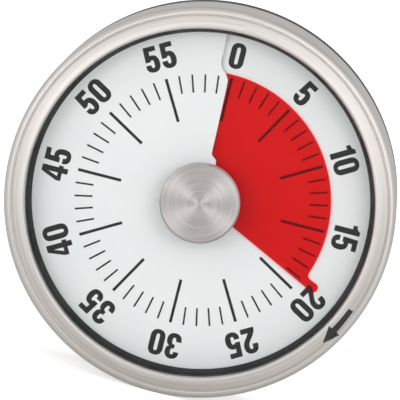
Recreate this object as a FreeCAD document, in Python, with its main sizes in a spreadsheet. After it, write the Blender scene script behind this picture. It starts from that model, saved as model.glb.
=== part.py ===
import FreeCAD, Part
import math
import os

import Sketcher

# A wind-up visual countdown timer. It is drawn as it is seen from the front: x to the
# right, y up, z towards the viewer with the magnetic back at z = 0. Every piece is then
# turned a quarter about X, so that it stands upright and its dial faces -Y.

Vector = FreeCAD.Vector
doc = FreeCAD.newDocument("Timer")

# Driving sizes, in millimetres and degrees: word, value, what it is
SIZES = [
    ("overall_radius", 40.0, "outer radius of the steel ring and of the base behind it"),
    ("ring_width", 4.35, "width of the steel ring, from its lip to its outside"),
    ("sheet_wall", 0.6, "thickness of the spun steel ring"),
    ("seat_gap", 0.05, "gap between pieces that seat on each other"),
    ("rotor_gap", 0.4, "gap between the turning ring and the fixed base"),
    ("sleeve_wall", 0.95, "wall of the plastic sleeve inside the steel skirt"),
    ("flange_height", 8.6, "height of the black flange that shows behind the steel"),
    ("edge_round", 3.0, "round on the back edge of the base"),
    ("back_wall", 2.4, "thickness of the base's back wall"),
    ("neck_height", 8.6, "height of the neck that the ring turns on"),
    ("neck_wall", 1.8, "wall of the neck and the flange"),
    ("dial_plate", 2.0, "thickness of the plate under the dial"),
    ("dial_lift", 1.0, "middle of the dial sheet above its plate, at the zero mark"),
    ("slit_pitch", 1.1, "rise of the dial sheet and of the film in one turn"),
    ("dial_thick", 0.3, "thickness of the printed dial sheet"),
    ("film_thick", 0.15, "thickness of the red film"),
    ("dial_tuck", 1.6, "how far the dial sheet reaches under the black wall"),
    ("dial_bore", 7.0, "hole in the middle of the dial sheet"),
    ("lip_back", 4.0, "how far the outer part of the slit is cut back, in degrees"),
    ("lip_lead", 1.5, "slit's inner edge before the zero mark, in degrees"),
    ("step_gap", 0.8, "gap from the film's edge to the slit's step"),
    ("step_run", 1.6, "length of the curve that leads to the step"),
    ("step_round", 2.4, "round of the curve that leads to the step"),
    ("film_radius", 26.6, "outer radius of the red film"),
    ("film_bore", 3.6, "hole in the middle of the red film"),
    ("film_slit", 1.5, "open angle of the film's slit, in degrees"),
    ("pointer_reach", 3.5, "how far the film's pointer reaches past its edge"),
    ("pointer_angle", 4.6, "width of the film's pointer, in degrees"),
    ("pointer_thick", 0.25, "thickness of the film's pointer"),
    ("set_angle", 115.5, "angle of the time that is set, in degrees: a little over 19 minutes"),
    ("full_angle", 342.0, "largest angle that can be set, in degrees: 57 minutes"),
    ("film_clear", 0.35, "gap between the film and the hub's flanges"),
    ("hub_flange", 1.0, "thickness of the hub's flanges"),
    ("hub_radius", 3.5, "core of the hub"),
    ("flange_radius", 6.6, "radius of the hub's flanges"),
    ("lens_thick", 1.2, "thickness of the clear lens"),
    ("lens_tuck", 0.25, "how far the lens reaches under the steel lip"),
    ("ledge_width", 0.55, "width of the ledge under the lens"),
    ("wall_slope", 1.3, "how far the black wall leans in from the lens's edge"),
    ("lip_rise", 3.1, "steel lip above the lens"),
    ("lip_round", 0.5, "round on the steel lip"),
    ("lip_return", 1.5, "depth of the lip's turned-in edge"),
    ("bead_radius", 1.3, "round of the ring's outer bead"),
    ("face_fall", 0.75, "fall of the ring's face from its lip to its bead"),
    ("groove_width", 0.4, "width of the fine groove inside the bead"),
    ("retainer_wall", 0.45, "wall of the ring that holds the lens down"),
    ("knob_radius", 8.2, "radius of the turned steel cap"),
    ("knob_height", 2.9, "height of the cap above the lens"),
    ("knob_wall", 0.6, "wall of the cap"),
    ("knob_chamfer", 0.35, "chamfer of the cap's front edge"),
    ("screw_radius", 1.2, "radius of the centre screw"),
    ("screw_head", 2.3, "radius of the centre screw's head"),
    ("screw_head_height", 0.9, "height of the centre screw's head"),
    ("arbor_radius", 2.0, "radius of the main arbor"),
    ("pivot_radius", 1.2, "radius of the main arbor's back pivot"),
    ("fit_gap", 0.05, "radial gap of a shaft in its bearing"),
    ("press_gap", 0.03, "radial gap of a wheel on its arbor"),
    ("plate_room", 5.2, "gap between the movement's plates and the neck"),
    ("plate_thick", 1.0, "thickness of the movement's plates"),
    ("plate_foot", 1.6, "room between the back wall and the movement"),
    ("plate_span", 8.0, "distance between the movement's plates"),
    ("pillar_radius", 1.5, "radius of the plate pillars"),
    ("nut_radius", 1.9, "radius across the corners of the pillar nuts"),
    ("nut_height", 0.9, "height of the pillar nuts"),
    ("pillar_ring", 20.0, "radius of the circle of inner pillars"),
    ("pillar_inset", 4.0, "outer pillar inside the edge of the plates"),
    ("boss_wall", 0.6, "wall of the bosses that the pillars meet"),
    ("main_module", 0.5, "tooth module of the main wheel and its pinion"),
    ("second_module", 0.4, "tooth module of the second wheel and its pinion"),
    ("third_module", 0.35, "tooth module of the third wheel and its pinion"),
    ("wheel_thick", 0.9, "thickness of the wheels"),
    ("pinion_extra", 0.4, "pinion's length past its wheel on each side"),
    ("level_step", 2.2, "height from one pair of wheels to the next"),
    ("level_start", 1.2, "first pair of wheels above the back plate"),
    ("staff_radius", 0.8, "radius of the small arbors"),
    ("staff_pivot", 0.45, "radius of the small arbors' pivots"),
    ("shoulder_gap", 0.2, "end play of the small arbors"),
    ("escape_tip", 4.6, "radius of the escape wheel"),
    ("escape_root", 3.2, "root radius of the escape wheel"),
    ("balance_distance", 8.2, "distance from the escape wheel to the balance"),
    ("pin_radius", 0.35, "radius of the pallet pins"),
    ("pin_gap", 0.35, "gap from the pallet pins to the escape wheel"),
    ("lever_blank", 1.9, "radius of the lever bosses"),
    ("lever_thick", 0.6, "thickness of the pallet lever"),
    ("lever_half", 0.55, "half the width of the pallet lever's arms"),
    ("lever_lift", 0.5, "gap from the escape wheel to the lever"),
    ("rim_outer", 5.4, "outer radius of the balance"),
    ("rim_inner", 4.3, "inner radius of the balance's rim"),
    ("rim_bar", 1.4, "width of the balance's crossbar"),
    ("rim_hub", 1.7, "radius of the balance's hub"),
    ("spring_height", 2.4, "height of the mainspring's strip"),
    ("spring_strip", 0.3, "thickness of the mainspring's strip"),
    ("spring_inner", 2.6, "inner radius of the mainspring"),
    ("stud_radius", 0.6, "radius of the stud that holds the mainspring"),
    ("spring_outer", 11.4, "outer radius of the mainspring"),
    ("cam_radius", 11.0, "radius of the trip cam"),
    ("cam_thick", 1.2, "thickness of the trip cam"),
    ("cam_notch", 1.6, "depth of the trip cam's notch"),
    ("bell_clear", 0.6, "gap between the bell and the main wheel"),
    ("bell_room", 3.4, "gap between the bell and the neck"),
    ("bay_gap", 1.6, "gap round the bell in the movement's plates"),
    ("bell_height", 5.6, "height of the bell"),
    ("bell_wall", 0.6, "wall of the bell"),
    ("crown_round", 2.4, "round of the bell's crown"),
    ("post_radius", 2.2, "radius of the bell's post"),
    ("hammer_radius", 1.8, "radius of the hammer's head"),
    ("hammer_gap", 1.2, "gap from the hammer to the bell at rest"),
    ("hammer_distance", 24.4, "middle of the timer to the hammer's axis"),
    ("hammer_height", 1.6, "height of the hammer's head"),
    ("hammer_arm", 1.4, "width of the hammer's arm"),
    ("arm_thick", 0.8, "thickness of the hammer's arm"),
    ("tail_width", 1.2, "width of the hammer's tail"),
    ("tail_gap", 0.4, "gap from the tail to the trip cam"),
    ("magnet_radius", 5.0, "radius of the magnets"),
    ("magnet_thick", 1.8, "thickness of the magnets"),
    ("magnet_ring", 21.0, "radius of the circle of magnets"),
    ("post_inset", 2.7, "case screws inside the neck's wall"),
    ("post_clear", 0.6, "gap between the movement's plates and the case posts"),
    ("case_post", 2.4, "radius of the posts for the case screws"),
    ("case_screw", 0.95, "radius of the case screws"),
    ("case_head", 1.9, "radius of the case screws' heads"),
    ("case_head_height", 1.2, "height of the case screws' heads"),
    ("case_screw_length", 9.0, "length of the case screws"),
    ("slot_width", 1.2, "width of the sound slots"),
    ("slot_length", 9.0, "length of the sound slots"),
    ("slot_step", 2.6, "distance from one sound slot to the next"),
]

# Counts that the gear train depends on: the wheel's teeth and its pinion's leaves
MAIN_TEETH, SECOND_LEAVES = 60, 10
SECOND_TEETH, THIRD_LEAVES = 48, 8
THIRD_TEETH, ESCAPE_LEAVES = 32, 8
ESCAPE_TEETH = 15
MAGNETS = 4
SOUND_SLOTS = 5
SPRING_TURNS = 6

# Tooth shape: height above and below the pitch circle in modules, and widths as shares of a pitch
ADDENDUM, DEDENDUM = 0.8, 1.15
WHEEL_SHARES = (0.50, 0.20)
LEAF_SHARES = (0.36, 0.24)
ESCAPE_SHARES = (0.62, 0.10)

sheet = doc.addObject("Spreadsheet::Sheet", "Sizes")
for row, (word, value, note) in enumerate(SIZES, start=1):
    sheet.set(f"A{row}", note)
    sheet.set(f"B{row}", str(value))
    sheet.setAlias(f"B{row}", word)
doc.recompute()

UPRIGHT = FreeCAD.Rotation(Vector(1, 0, 0), 90)


def size(expression):
    """The number that an expression in the sheet's words stands for."""
    result = sheet.evalExpression(str(expression))
    return float(result)


def own(word):
    return f"<<Sizes>>.{word}"


# Heights of the stack, from the back face forwards, as expressions of the sheet
R = own("overall_radius")
skirt_bottom = f"({own('flange_height')} + {own('rotor_gap')})"
neck_top = f"({own('flange_height')} + {own('neck_height')})"
plate_top = f"({neck_top} + {own('dial_plate')})"
dial_middle = f"({plate_top} + {own('dial_lift')})"
film_low = f"({dial_middle} - {own('slit_pitch')} / 2 - {own('film_thick')} / 2)"
film_high = (f"({dial_middle} + {own('slit_pitch')} * (0.5 + {own('full_angle')} / 360)"
             f" + {own('film_thick')} / 2)")
ring_floor = (f"({dial_middle} + {own('slit_pitch')} + {own('dial_thick')} / 2"
              f" + {own('rotor_gap')})")
upper_flange = f"({film_high} + {own('film_clear')})"
lens_under = f"({upper_flange} + {own('hub_flange')})"
lens_top = f"({lens_under} + {own('lens_thick')})"
lip_top = f"({lens_top} + {own('lip_rise')})"
knob_top = f"({lens_top} + {own('knob_height')})"
lower_flange = f"({film_low} - {own('film_clear')} - {own('hub_flange')})"

# Radii of the turning sleeve and of the neck inside it
sleeve_outer = f"({R} - {own('sheet_wall')} - {own('seat_gap')})"
sleeve_inner = f"({sleeve_outer} - {own('sleeve_wall')})"
neck_outer = f"({sleeve_inner} - {own('rotor_gap')})"
neck_inner = f"({neck_outer} - {own('neck_wall')})"

# Radii at the front, each measured from its neighbour, and what follows the neck's inside
lip_radius = f"({R} - {own('ring_width')})"
lens_radius = f"({lip_radius} + {own('lens_tuck')})"
wall_radius = f"({lens_radius} - {own('wall_slope')})"
dial_radius = f"({wall_radius} + {own('dial_tuck')})"
step_radius = f"({own('film_radius')} + {own('step_gap')})"
pointer_radius = f"({own('film_radius')} + {own('pointer_reach')})"
case_ring = f"({neck_inner} - {own('post_inset')})"
plate_radius = f"({neck_inner} - {own('plate_room')})"
main_tip = f"({own('main_module')} * ({MAIN_TEETH} / 2 + {ADDENDUM}))"
bell_radius = f"(({neck_inner} - {own('bell_room')} - {main_tip} - {own('bell_clear')}) / 2)"
bell_distance = f"({main_tip} + {own('bell_clear')} + {bell_radius})"

# Heights in the movement
rear_plate_low = f"({own('back_wall')} + {own('plate_foot')})"
rear_plate_top = f"({rear_plate_low} + {own('plate_thick')})"
front_plate_low = f"({rear_plate_top} + {own('plate_span')})"
front_plate_top = f"({front_plate_low} + {own('plate_thick')})"
level = [f"({rear_plate_top} + {own('level_start')} + {i} * {own('level_step')})" for i in range(3)]


def polar(radius, degrees):
    """Point at a radius and an angle, counted anticlockwise from the x axis."""
    turn = math.radians(degrees)
    return (radius * math.cos(turn), radius * math.sin(turn))


def away(start, distance, degrees):
    step = polar(distance, degrees)
    return (start[0] + step[0], start[1] + step[1])


# Places of the arbors in the movement: each is one centre distance from the one before
MAIN = (0.0, 0.0)
SECOND_DIRECTION, THIRD_DIRECTION, ESCAPE_DIRECTION, BALANCE_DIRECTION = 150.0, 205.0, 295.0, 270.0
SECOND = away(MAIN, size(own("main_module")) * (MAIN_TEETH + SECOND_LEAVES) / 2, SECOND_DIRECTION)
THIRD = away(SECOND, size(own("second_module")) * (SECOND_TEETH + THIRD_LEAVES) / 2, THIRD_DIRECTION)
ESCAPE = away(THIRD, size(own("third_module")) * (THIRD_TEETH + ESCAPE_LEAVES) / 2, ESCAPE_DIRECTION)
BALANCE = away(ESCAPE, size(own("balance_distance")), BALANCE_DIRECTION)
HAMMER = polar(size(own("hammer_distance")), 55.0)
BELL = (size(bell_distance), 0.0)
PILLARS = [polar(size(own("pillar_ring")), angle) for angle in (75, -38, 250)]
PILLARS.append(polar(size(f"{plate_radius} - {own('pillar_inset')}"), 105))
CASE_ANGLES = [60, 120, 240, 300]
MAGNET_ANGLES = [45 + 360 * i / MAGNETS for i in range(MAGNETS)]


def stand(item, place=(0.0, 0.0)):
    """Turn a piece upright, at its place on the face of the timer."""
    item.Placement = FreeCAD.Placement(Vector(place[0], 0, place[1]), UPRIGHT)
    return item


def new_body(label, place=(0.0, 0.0)):
    body = doc.addObject("PartDesign::Body", label)
    body.Label = label
    return stand(body, place)


def new_sketch(body, name, plane="XY_Plane", height=None, turn=0.0):
    """Sketch on one of the body's own origin planes, raised to a height."""
    sketch = body.newObject("Sketcher::SketchObject", f"{body.Label}_{name}")
    support = [item for item in body.Origin.OriginFeatures if item.Role == plane][0]
    sketch.AttachmentSupport = [(support, "")]
    sketch.MapMode = "FlatFace"
    if turn:
        sketch.AttachmentOffset = FreeCAD.Placement(Vector(), FreeCAD.Rotation(Vector(0, 1, 0), turn))
    if height is not None:
        sketch.setExpression("AttachmentOffset.Base.z", str(height))
    return sketch


def hold_point(sketch, edge, end, x, y):
    """Tie one point of a sketch to two expressions."""
    for kind, axis, expression in (("DistanceX", -2, x), ("DistanceY", -1, y)):
        value = size(expression)
        if abs(value) < 1e-9:
            sketch.addConstraint(Sketcher.Constraint("PointOnObject", edge, end, axis))
            continue
        index = sketch.addConstraint(Sketcher.Constraint(kind, -1, 1, edge, end, value))
        sketch.setExpression(f"Constraints[{index}]", str(expression))


def arc_between(start, end, radius):
    """Arc from start to end; a positive radius bends it to the left of the way along it."""
    chord = end - start
    half = chord.Length / 2
    across = Vector(-chord.y, chord.x, 0).normalize()
    rise = abs(radius) - math.sqrt(max(radius * radius - half * half, 0.0))
    side = 1 if radius > 0 else -1
    return Part.Arc(start, (start + end) / 2 + across * rise * side, end)


def outline(sketch, corners):
    """Closed outline. A corner is (x, y), or (x, y, radius) where an arc leads to it."""
    points = [Vector(size(c[0]), size(c[1]), 0) for c in corners]
    ends = []
    for i, corner in enumerate(corners):
        start, end = points[i - 1], points[i]
        if len(corner) == 3:
            edge = sketch.addGeometry(arc_between(start, end, size(corner[2])))
            first = 1 if (sketch.getPoint(edge, 1) - start).Length < 1e-6 else 2
            radius = sketch.addConstraint(Sketcher.Constraint("Radius", edge, abs(size(corner[2]))))
            sketch.setExpression(f"Constraints[{radius}]", f"abs({corner[2]})")
        else:
            edge = sketch.addGeometry(Part.LineSegment(start, end))
            first = 1
        ends.append((edge, first, 3 - first))
    for i, corner in enumerate(corners):
        following = ends[(i + 1) % len(ends)]
        sketch.addConstraint(Sketcher.Constraint(
            "Coincident", ends[i][0], ends[i][2], following[0], following[1]))
        hold_point(sketch, ends[i][0], ends[i][2], corner[0], corner[1])


def circles(sketch, centres, radius):
    """Equal circles, each held at its centre and tied to one radius."""
    for x, y in centres:
        edge = sketch.addGeometry(Part.Circle(Vector(size(x), size(y), 0), Vector(0, 0, 1), size(radius)))
        index = sketch.addConstraint(Sketcher.Constraint("Radius", edge, size(radius)))
        sketch.setExpression(f"Constraints[{index}]", str(radius))
        hold_point(sketch, edge, 3, x, y)


def turned(label, corners, place=(0.0, 0.0)):
    """Piece turned on its own axis: corners are (radius, height)."""
    body = new_body(label, place)
    sketch = new_sketch(body, "profile", "XZ_Plane")
    outline(sketch, corners)
    turn = body.newObject("PartDesign::Revolution", f"{label}_turned")
    turn.Profile = sketch
    turn.ReferenceAxis = (sketch, ["V_Axis"])
    turn.Angle = 360
    sketch.Visibility = False
    doc.recompute()
    return body


def pad(body, sketch, length, name="pad"):
    """Raise a sketch towards the viewer."""
    feature = body.newObject("PartDesign::Pad", f"{body.Label}_{name}")
    feature.Profile = sketch
    feature.setExpression("Length", str(length))
    doc.recompute()
    return feature


def pocket(body, sketch, depth=None, name="pocket"):
    """Cut a sketch away towards the viewer, or right through the piece."""
    before = body.Shape.Volume
    feature = body.newObject("PartDesign::Pocket", f"{body.Label}_{name}")
    feature.Profile = sketch
    if depth is None:
        feature.Type = "ThroughAll"
        feature.Midplane = True
    else:
        feature.Reversed = True
        feature.setExpression("Length", str(depth))
    doc.recompute()
    if not body.Shape.Volume < before:
        raise RuntimeError(f"{feature.Name} cuts nothing")
    return feature


def spiral_sheet(body, corners, angle, start, name="helix"):
    """Sheet that climbs clockwise from a start angle: corners are (radius, height)."""
    sketch = new_sketch(body, f"{name}_profile", "XZ_Plane", turn=90.0 - size(start))
    outline(sketch, corners)
    feature = body.newObject("PartDesign::AdditiveHelix", f"{body.Label}_{name}")
    feature.Profile = sketch
    feature.ReferenceAxis = (sketch, ["V_Axis"])
    feature.Mode = 1
    feature.LeftHanded = True
    feature.setExpression("Pitch", own("slit_pitch"))
    feature.setExpression("Turns", f"({angle}) / 360")
    doc.recompute()
    return feature


def plain(label, shape, place=(0.0, 0.0)):
    """Piece whose shape is made by a function below."""
    piece = doc.addObject("Part::Feature", label)
    piece.Label = label
    piece.Shape = shape
    return stand(piece, place)


def at_places(shape, places):
    """Separate copies of one shape, at places on the face of the timer."""
    copies = []
    for x, y in places:
        copy = shape.copy()
        copy.translate(Vector(x, y, 0))
        copies.append(copy)
    return Part.makeCompound(copies)


def cylinder(radius, low, high):
    return Part.makeCylinder(size(radius), size(high) - size(low), Vector(0, 0, size(low)))


# The turning front: steel ring, its sleeve, the lens and what holds it
bead_low = f"({lip_top} - {own('face_fall')} - {own('bead_radius')})"
bead_top = f"({lip_top} - {own('face_fall')})"
bead_inner = f"({R} - {own('bead_radius')})"
groove_inner = f"({bead_inner} - {own('groove_width')})"
return_outer = f"({lip_radius} + {own('sheet_wall')})"
return_low = f"({lip_top} - {own('lip_return')})"
under_face = f"({lip_top} - {own('face_fall')} - {own('sheet_wall')})"

bezel_ring = turned("bezel_ring", [
    (R, skirt_bottom),
    (R, bead_low),
    (bead_inner, bead_top, f"-{own('bead_radius')}"),
    (f"{bead_inner} - {own('groove_width')} / 2", f"{bead_top} - {own('groove_width')} / 2"),
    (groove_inner, bead_top),
    (f"{lip_radius} + {own('lip_round')}", lip_top),
    (lip_radius, f"{lip_top} - {own('lip_round')}", f"-{own('lip_round')}"),
    (lip_radius, return_low),
    (return_outer, return_low),
    (return_outer, f"{lip_top} - {own('sheet_wall')} - 0.1"),
    (groove_inner, under_face),
    (f"{R} - {own('sheet_wall')}", bead_low),
    (f"{R} - {own('sheet_wall')}", skirt_bottom),
])

pocket_radius = f"({lens_radius} + {own('seat_gap')})"
shelf_top = f"({return_low} - {own('seat_gap')})"
bezel_sleeve = turned("bezel_sleeve", [
    (sleeve_outer, f"{skirt_bottom} + {own('rotor_gap')}"),
    (sleeve_outer, f"{bead_low} - {own('seat_gap')} * 2"),
    (f"{groove_inner} - {own('seat_gap')}", shelf_top),
    (pocket_radius, shelf_top),
    (pocket_radius, lens_under),
    (f"{pocket_radius} - {own('ledge_width')}", lens_under),
    (wall_radius, ring_floor),
    (sleeve_inner, ring_floor),
    (sleeve_inner, f"{skirt_bottom} + {own('rotor_gap')}"),
])

clearance_bore = f"({own('screw_radius')} + {own('fit_gap')})"
lens = turned("lens", [
    (clearance_bore, lens_under),
    (lens_radius, lens_under),
    (lens_radius, lens_top),
    (clearance_bore, lens_top),
])

lens_retainer = turned("lens_retainer", [
    (lens_radius, lens_top),
    (lens_radius, shelf_top),
    (f"{lens_radius} - {own('retainer_wall')} * 0.6", shelf_top),
    (f"{lens_radius} - {own('retainer_wall')}", lens_top),
])

core_radius = f"({own('knob_radius')} - {own('knob_wall')} - {own('seat_gap')})"
core_top = f"({knob_top} - {own('knob_wall')} - {own('seat_gap')})"
head_low = f"({core_top} - {own('screw_head_height')} - {own('seat_gap')})"
knob_core = turned("knob_core", [
    (clearance_bore, lens_top),
    (core_radius, lens_top),
    (core_radius, core_top),
    (f"{own('screw_head')} + {own('fit_gap')}", core_top),
    (f"{own('screw_head')} + {own('fit_gap')}", head_low),
    (clearance_bore, head_low),
])

knob_cap = turned("knob_cap", [
    (own("knob_radius"), f"{lens_top} + {own('seat_gap')}"),
    (own("knob_radius"), f"{knob_top} - {own('knob_chamfer')}"),
    (f"{own('knob_radius')} - {own('knob_chamfer')}", knob_top),
    ("0", knob_top),
    ("0", f"{knob_top} - {own('knob_wall')}"),
    (f"{own('knob_radius')} - {own('knob_wall')}", f"{knob_top} - {own('knob_wall')}"),
    (f"{own('knob_radius')} - {own('knob_wall')}", f"{lens_top} + {own('seat_gap')}"),
])

# The hub joins the front to the main arbor, and the film lies between its two flanges
arbor_top = f"({upper_flange} - {own('film_clear')})"
screw_tip = f"({lower_flange} - {own('hub_flange')})"
bearing_bore = f"({own('arbor_radius')} + {own('press_gap')})"
drive_hub = turned("drive_hub", [
    (bearing_bore, lower_flange),
    (own("flange_radius"), lower_flange),
    (own("flange_radius"), f"{lower_flange} + {own('hub_flange')}"),
    (own("hub_radius"), f"{lower_flange} + {own('hub_flange')}"),
    (own("hub_radius"), upper_flange),
    (own("flange_radius"), upper_flange),
    (own("flange_radius"), lens_under),
    (clearance_bore, lens_under),
    (clearance_bore, f"{arbor_top} + {own('seat_gap')}"),
    (bearing_bore, f"{arbor_top} + {own('seat_gap')}"),
])

centre_screw = turned("centre_screw", [
    ("0", screw_tip),
    (own("screw_radius"), screw_tip),
    (own("screw_radius"), head_low),
    (own("screw_head"), head_low),
    (own("screw_head"), f"{head_low} + {own('screw_head_height')}"),
    ("0", f"{head_low} + {own('screw_head_height')}"),
])

pivot_end = f"({rear_plate_low} - {own('shoulder_gap')} * 3)"
main_arbor = turned("main_arbor", [
    ("0", pivot_end),
    (own("pivot_radius"), pivot_end),
    (own("pivot_radius"), f"{rear_plate_top} + {own('shoulder_gap')}"),
    (own("arbor_radius"), f"{rear_plate_top} + {own('shoulder_gap')}"),
    (own("arbor_radius"), arbor_top),
    (clearance_bore, arbor_top),
    (clearance_bore, f"{screw_tip} - {own('seat_gap')}"),
    ("0", f"{screw_tip} - {own('seat_gap')}"),
])

cam_low = f"({front_plate_top} + {own('rotor_gap')})"
trip_cam = new_body("trip_cam")
cam_sketch = new_sketch(trip_cam, "outline", height=cam_low)
circles(cam_sketch, [("0", "0")], own("cam_radius"))
circles(cam_sketch, [("0", "0")], bearing_bore)
pad(trip_cam, cam_sketch, own("cam_thick"))
notch_sketch = new_sketch(trip_cam, "notch", height=cam_low)
outline(notch_sketch, [
    (f"-{own('cam_notch')}", f"{own('cam_radius')} + 1"),
    ("0", f"{own('cam_radius')} - {own('cam_notch')}"),
    (f"{own('cam_notch')} * 2", f"{own('cam_radius')} + 1"),
])
pocket(trip_cam, notch_sketch, own("cam_thick"))

# The base: rear housing, dial plate with its ramp, dial sheet and film
rear_housing = turned("rear_housing", [
    ("0", "0"),
    (f"{R} - {own('edge_round')}", "0"),
    (R, own("edge_round"), f"-{own('edge_round')}"),
    (R, own("flange_height")),
    (neck_outer, own("flange_height")),
    (neck_outer, neck_top),
    (neck_inner, neck_top),
    (neck_inner, own("back_wall")),
    ("0", own("back_wall")),
])
magnet_places = [polar(size(own("magnet_ring")), a) for a in MAGNET_ANGLES]
case_places = [polar(size(case_ring), a) for a in CASE_ANGLES]


def centres(radius, angles):
    """Centres on a circle, as expressions of its radius."""
    return [(f"{radius} * {math.cos(math.radians(a)):.9f}", f"{radius} * {math.sin(math.radians(a)):.9f}")
            for a in angles]


magnet_sketch = new_sketch(rear_housing, "magnet_pockets", height="0")
circles(magnet_sketch, centres(own("magnet_ring"), MAGNET_ANGLES), f"{own('magnet_radius')} + {own('seat_gap')}")
pocket(rear_housing, magnet_sketch, own("magnet_thick"), "magnet_pocket")
head_sketch = new_sketch(rear_housing, "screw_heads", height="0")
circles(head_sketch, centres(case_ring, CASE_ANGLES), f"{own('case_head')} + {own('fit_gap')}")
pocket(rear_housing, head_sketch, f"{own('case_head_height')} + {own('seat_gap')}", "screw_head")
hole_sketch = new_sketch(rear_housing, "screw_holes", height="0")
circles(hole_sketch, centres(case_ring, CASE_ANGLES), f"{own('case_screw')} + {own('fit_gap')}")
pocket(rear_housing, hole_sketch, own("back_wall"), "screw_hole")
slot_sketch = new_sketch(rear_housing, "sound_slots", height="0")
for i in range(SOUND_SLOTS):
    offset = i - (SOUND_SLOTS - 1) / 2
    left = f"{bell_distance} + {offset} * {own('slot_step')} - {own('slot_width')} / 2"
    right = f"{bell_distance} + {offset} * {own('slot_step')} + {own('slot_width')} / 2"
    outline(slot_sketch, [
        (left, f"-{own('slot_length')} / 2"), (right, f"-{own('slot_length')} / 2"),
        (right, f"{own('slot_length')} / 2"), (left, f"{own('slot_length')} / 2")])
pocket(rear_housing, slot_sketch, own("back_wall"), "sound_slot")

magnets = plain("magnets", at_places(cylinder(own("magnet_radius"), "0", own("magnet_thick")), magnet_places))


def case_screw_shape():
    head = cylinder(own("case_head"), "0", own("case_head_height"))
    shank = cylinder(own("case_screw"), "0", own("case_screw_length"))
    return head.fuse(shank).removeSplitter()


case_screws = plain("case_screws", at_places(case_screw_shape(), case_places))

dial_carrier = new_body("dial_carrier")
plate_sketch = new_sketch(dial_carrier, "plate", height=neck_top)
circles(plate_sketch, [("0", "0")], neck_outer)
circles(plate_sketch, [("0", "0")], f"{own('flange_radius')} + {own('rotor_gap')} * 1.5")
pad(dial_carrier, plate_sketch, own("dial_plate"), "plate")
post_sketch = new_sketch(dial_carrier, "posts", height=own("back_wall"))
circles(post_sketch, centres(case_ring, CASE_ANGLES), own("case_post"))
pad(dial_carrier, post_sketch, f"{neck_top} - {own('back_wall')}", "posts")
boss_sketch = new_sketch(dial_carrier, "bosses", height=front_plate_top)
circles(boss_sketch, [(f"{x:.6f}", f"{y:.6f}") for x, y in PILLARS],
        f"{own('pillar_radius')} + {own('boss_wall')}")
pad(dial_carrier, boss_sketch, f"{neck_top} - {front_plate_top}", "bosses")
thread_sketch = new_sketch(dial_carrier, "screw_threads", height=own("back_wall"))
circles(thread_sketch, centres(case_ring, CASE_ANGLES), f"{own('case_screw')} + {own('fit_gap')}")
pocket(dial_carrier, thread_sketch, own("case_screw_length"), "threads")

ramp_outer = f"({dial_radius} + {own('rotor_gap')})"
ramp_low = f"({plate_top} - {own('slit_pitch')} - {own('dial_thick')})"
dial_under = f"({dial_middle} - {own('dial_thick')} / 2)"
ramp_angle = f"(360 - {own('lip_back')} * 2)"
spiral_sheet(dial_carrier, [
    (step_radius, ramp_low),
    (ramp_outer, ramp_low),
    (ramp_outer, dial_under),
    (step_radius, dial_under),
], ramp_angle, "0", "ramp")

dial_start = f"(-{own('lip_lead')} - {own('lip_back')})"
start_drop = f"(({own('lip_lead')} + {own('lip_back')}) / 360 * {own('slit_pitch')})"
dial_sheet = new_body("dial_sheet")
spiral_sheet(dial_sheet, [
    (own("dial_bore"), f"{dial_middle} - {start_drop} - {own('dial_thick')} / 2"),
    (dial_radius, f"{dial_middle} - {start_drop} - {own('dial_thick')} / 2"),
    (dial_radius, f"{dial_middle} - {start_drop} + {own('dial_thick')} / 2"),
    (own("dial_bore"), f"{dial_middle} - {start_drop} + {own('dial_thick')} / 2"),
], f"360 + {own('lip_back')}", dial_start)



def on_dial(radius, angle):
    """Point at a radius and a dial angle, counted clockwise from the zero mark."""
    return (f"{radius} * sin({angle})", f"{radius} * cos({angle})")


# The raised side of the slit steps back outside the film, to let the pointer through
step_end = f"(-{own('lip_lead')})"
slit_step = new_sketch(dial_sheet, "slit_step", height=f"{dial_middle} + {own('slit_pitch')} / 2")
outline(slit_step, [
    on_dial(step_radius, f"({step_end} + 2)"),
    on_dial(step_radius, step_end),
    on_dial(f"({step_radius} + {own('step_run')})", dial_start) + (f"-{own('step_round')}",),
    on_dial(f"({dial_radius} + 1)", dial_start),
    on_dial(f"({dial_radius} + 1)", f"({step_end} + 2)"),
])
pocket(dial_sheet, slit_step, own("slit_pitch"), "slit_step")

# The film climbs at the dial's own rate, half a turn's rise below it and above it
film_start = f"({own('set_angle')} + {own('film_slit')})"
film_middle = f"({dial_middle} + {own('slit_pitch')} * ({film_start} / 360 - 0.5))"
red_film = new_body("red_film")
spiral_sheet(red_film, [
    (own("film_bore"), f"{film_middle} - {own('film_thick')} / 2"),
    (own("film_radius"), f"{film_middle} - {own('film_thick')} / 2"),
    (own("film_radius"), f"{film_middle} + {own('film_thick')} / 2"),
    (own("film_bore"), f"{film_middle} + {own('film_thick')} / 2"),
], f"(360 - {own('film_slit')})", film_start)

# The pointer is a stiffer tab on the film's leading edge, and it always rides above the dial
pointer_middle = f"({dial_middle} + {own('slit_pitch')} * ({own('set_angle')} / 360 + 0.5))"
pointer_back = f"({own('set_angle')} - {own('pointer_angle')})"
pointer_sketch = new_sketch(red_film, "pointer", height=f"{pointer_middle} - {own('pointer_thick')} / 2")
outline(pointer_sketch, [
    on_dial(f"({own('film_radius')} - 1)", own("set_angle")),
    on_dial(f"({own('film_radius')} - 1)", pointer_back),
    on_dial(own("film_radius"), pointer_back),
    on_dial(f"({pointer_radius} - 0.5)", f"({own('set_angle')} - 2.9)") + ("-3.0",),
    on_dial(f"({pointer_radius} - 1.1)", f"({own('set_angle')} - 0.4)") + ("0.95",),
])
pad(red_film, pointer_sketch, own("pointer_thick"), "pointer")

# The movement: two plates held apart by pillars, with the train between them
pillar_places = [(f"{x:.6f}", f"{y:.6f}") for x, y in PILLARS]
staff_places = [(f"{x:.6f}", f"{y:.6f}") for x, y in (SECOND, THIRD, ESCAPE, BALANCE, HAMMER)]


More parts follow.
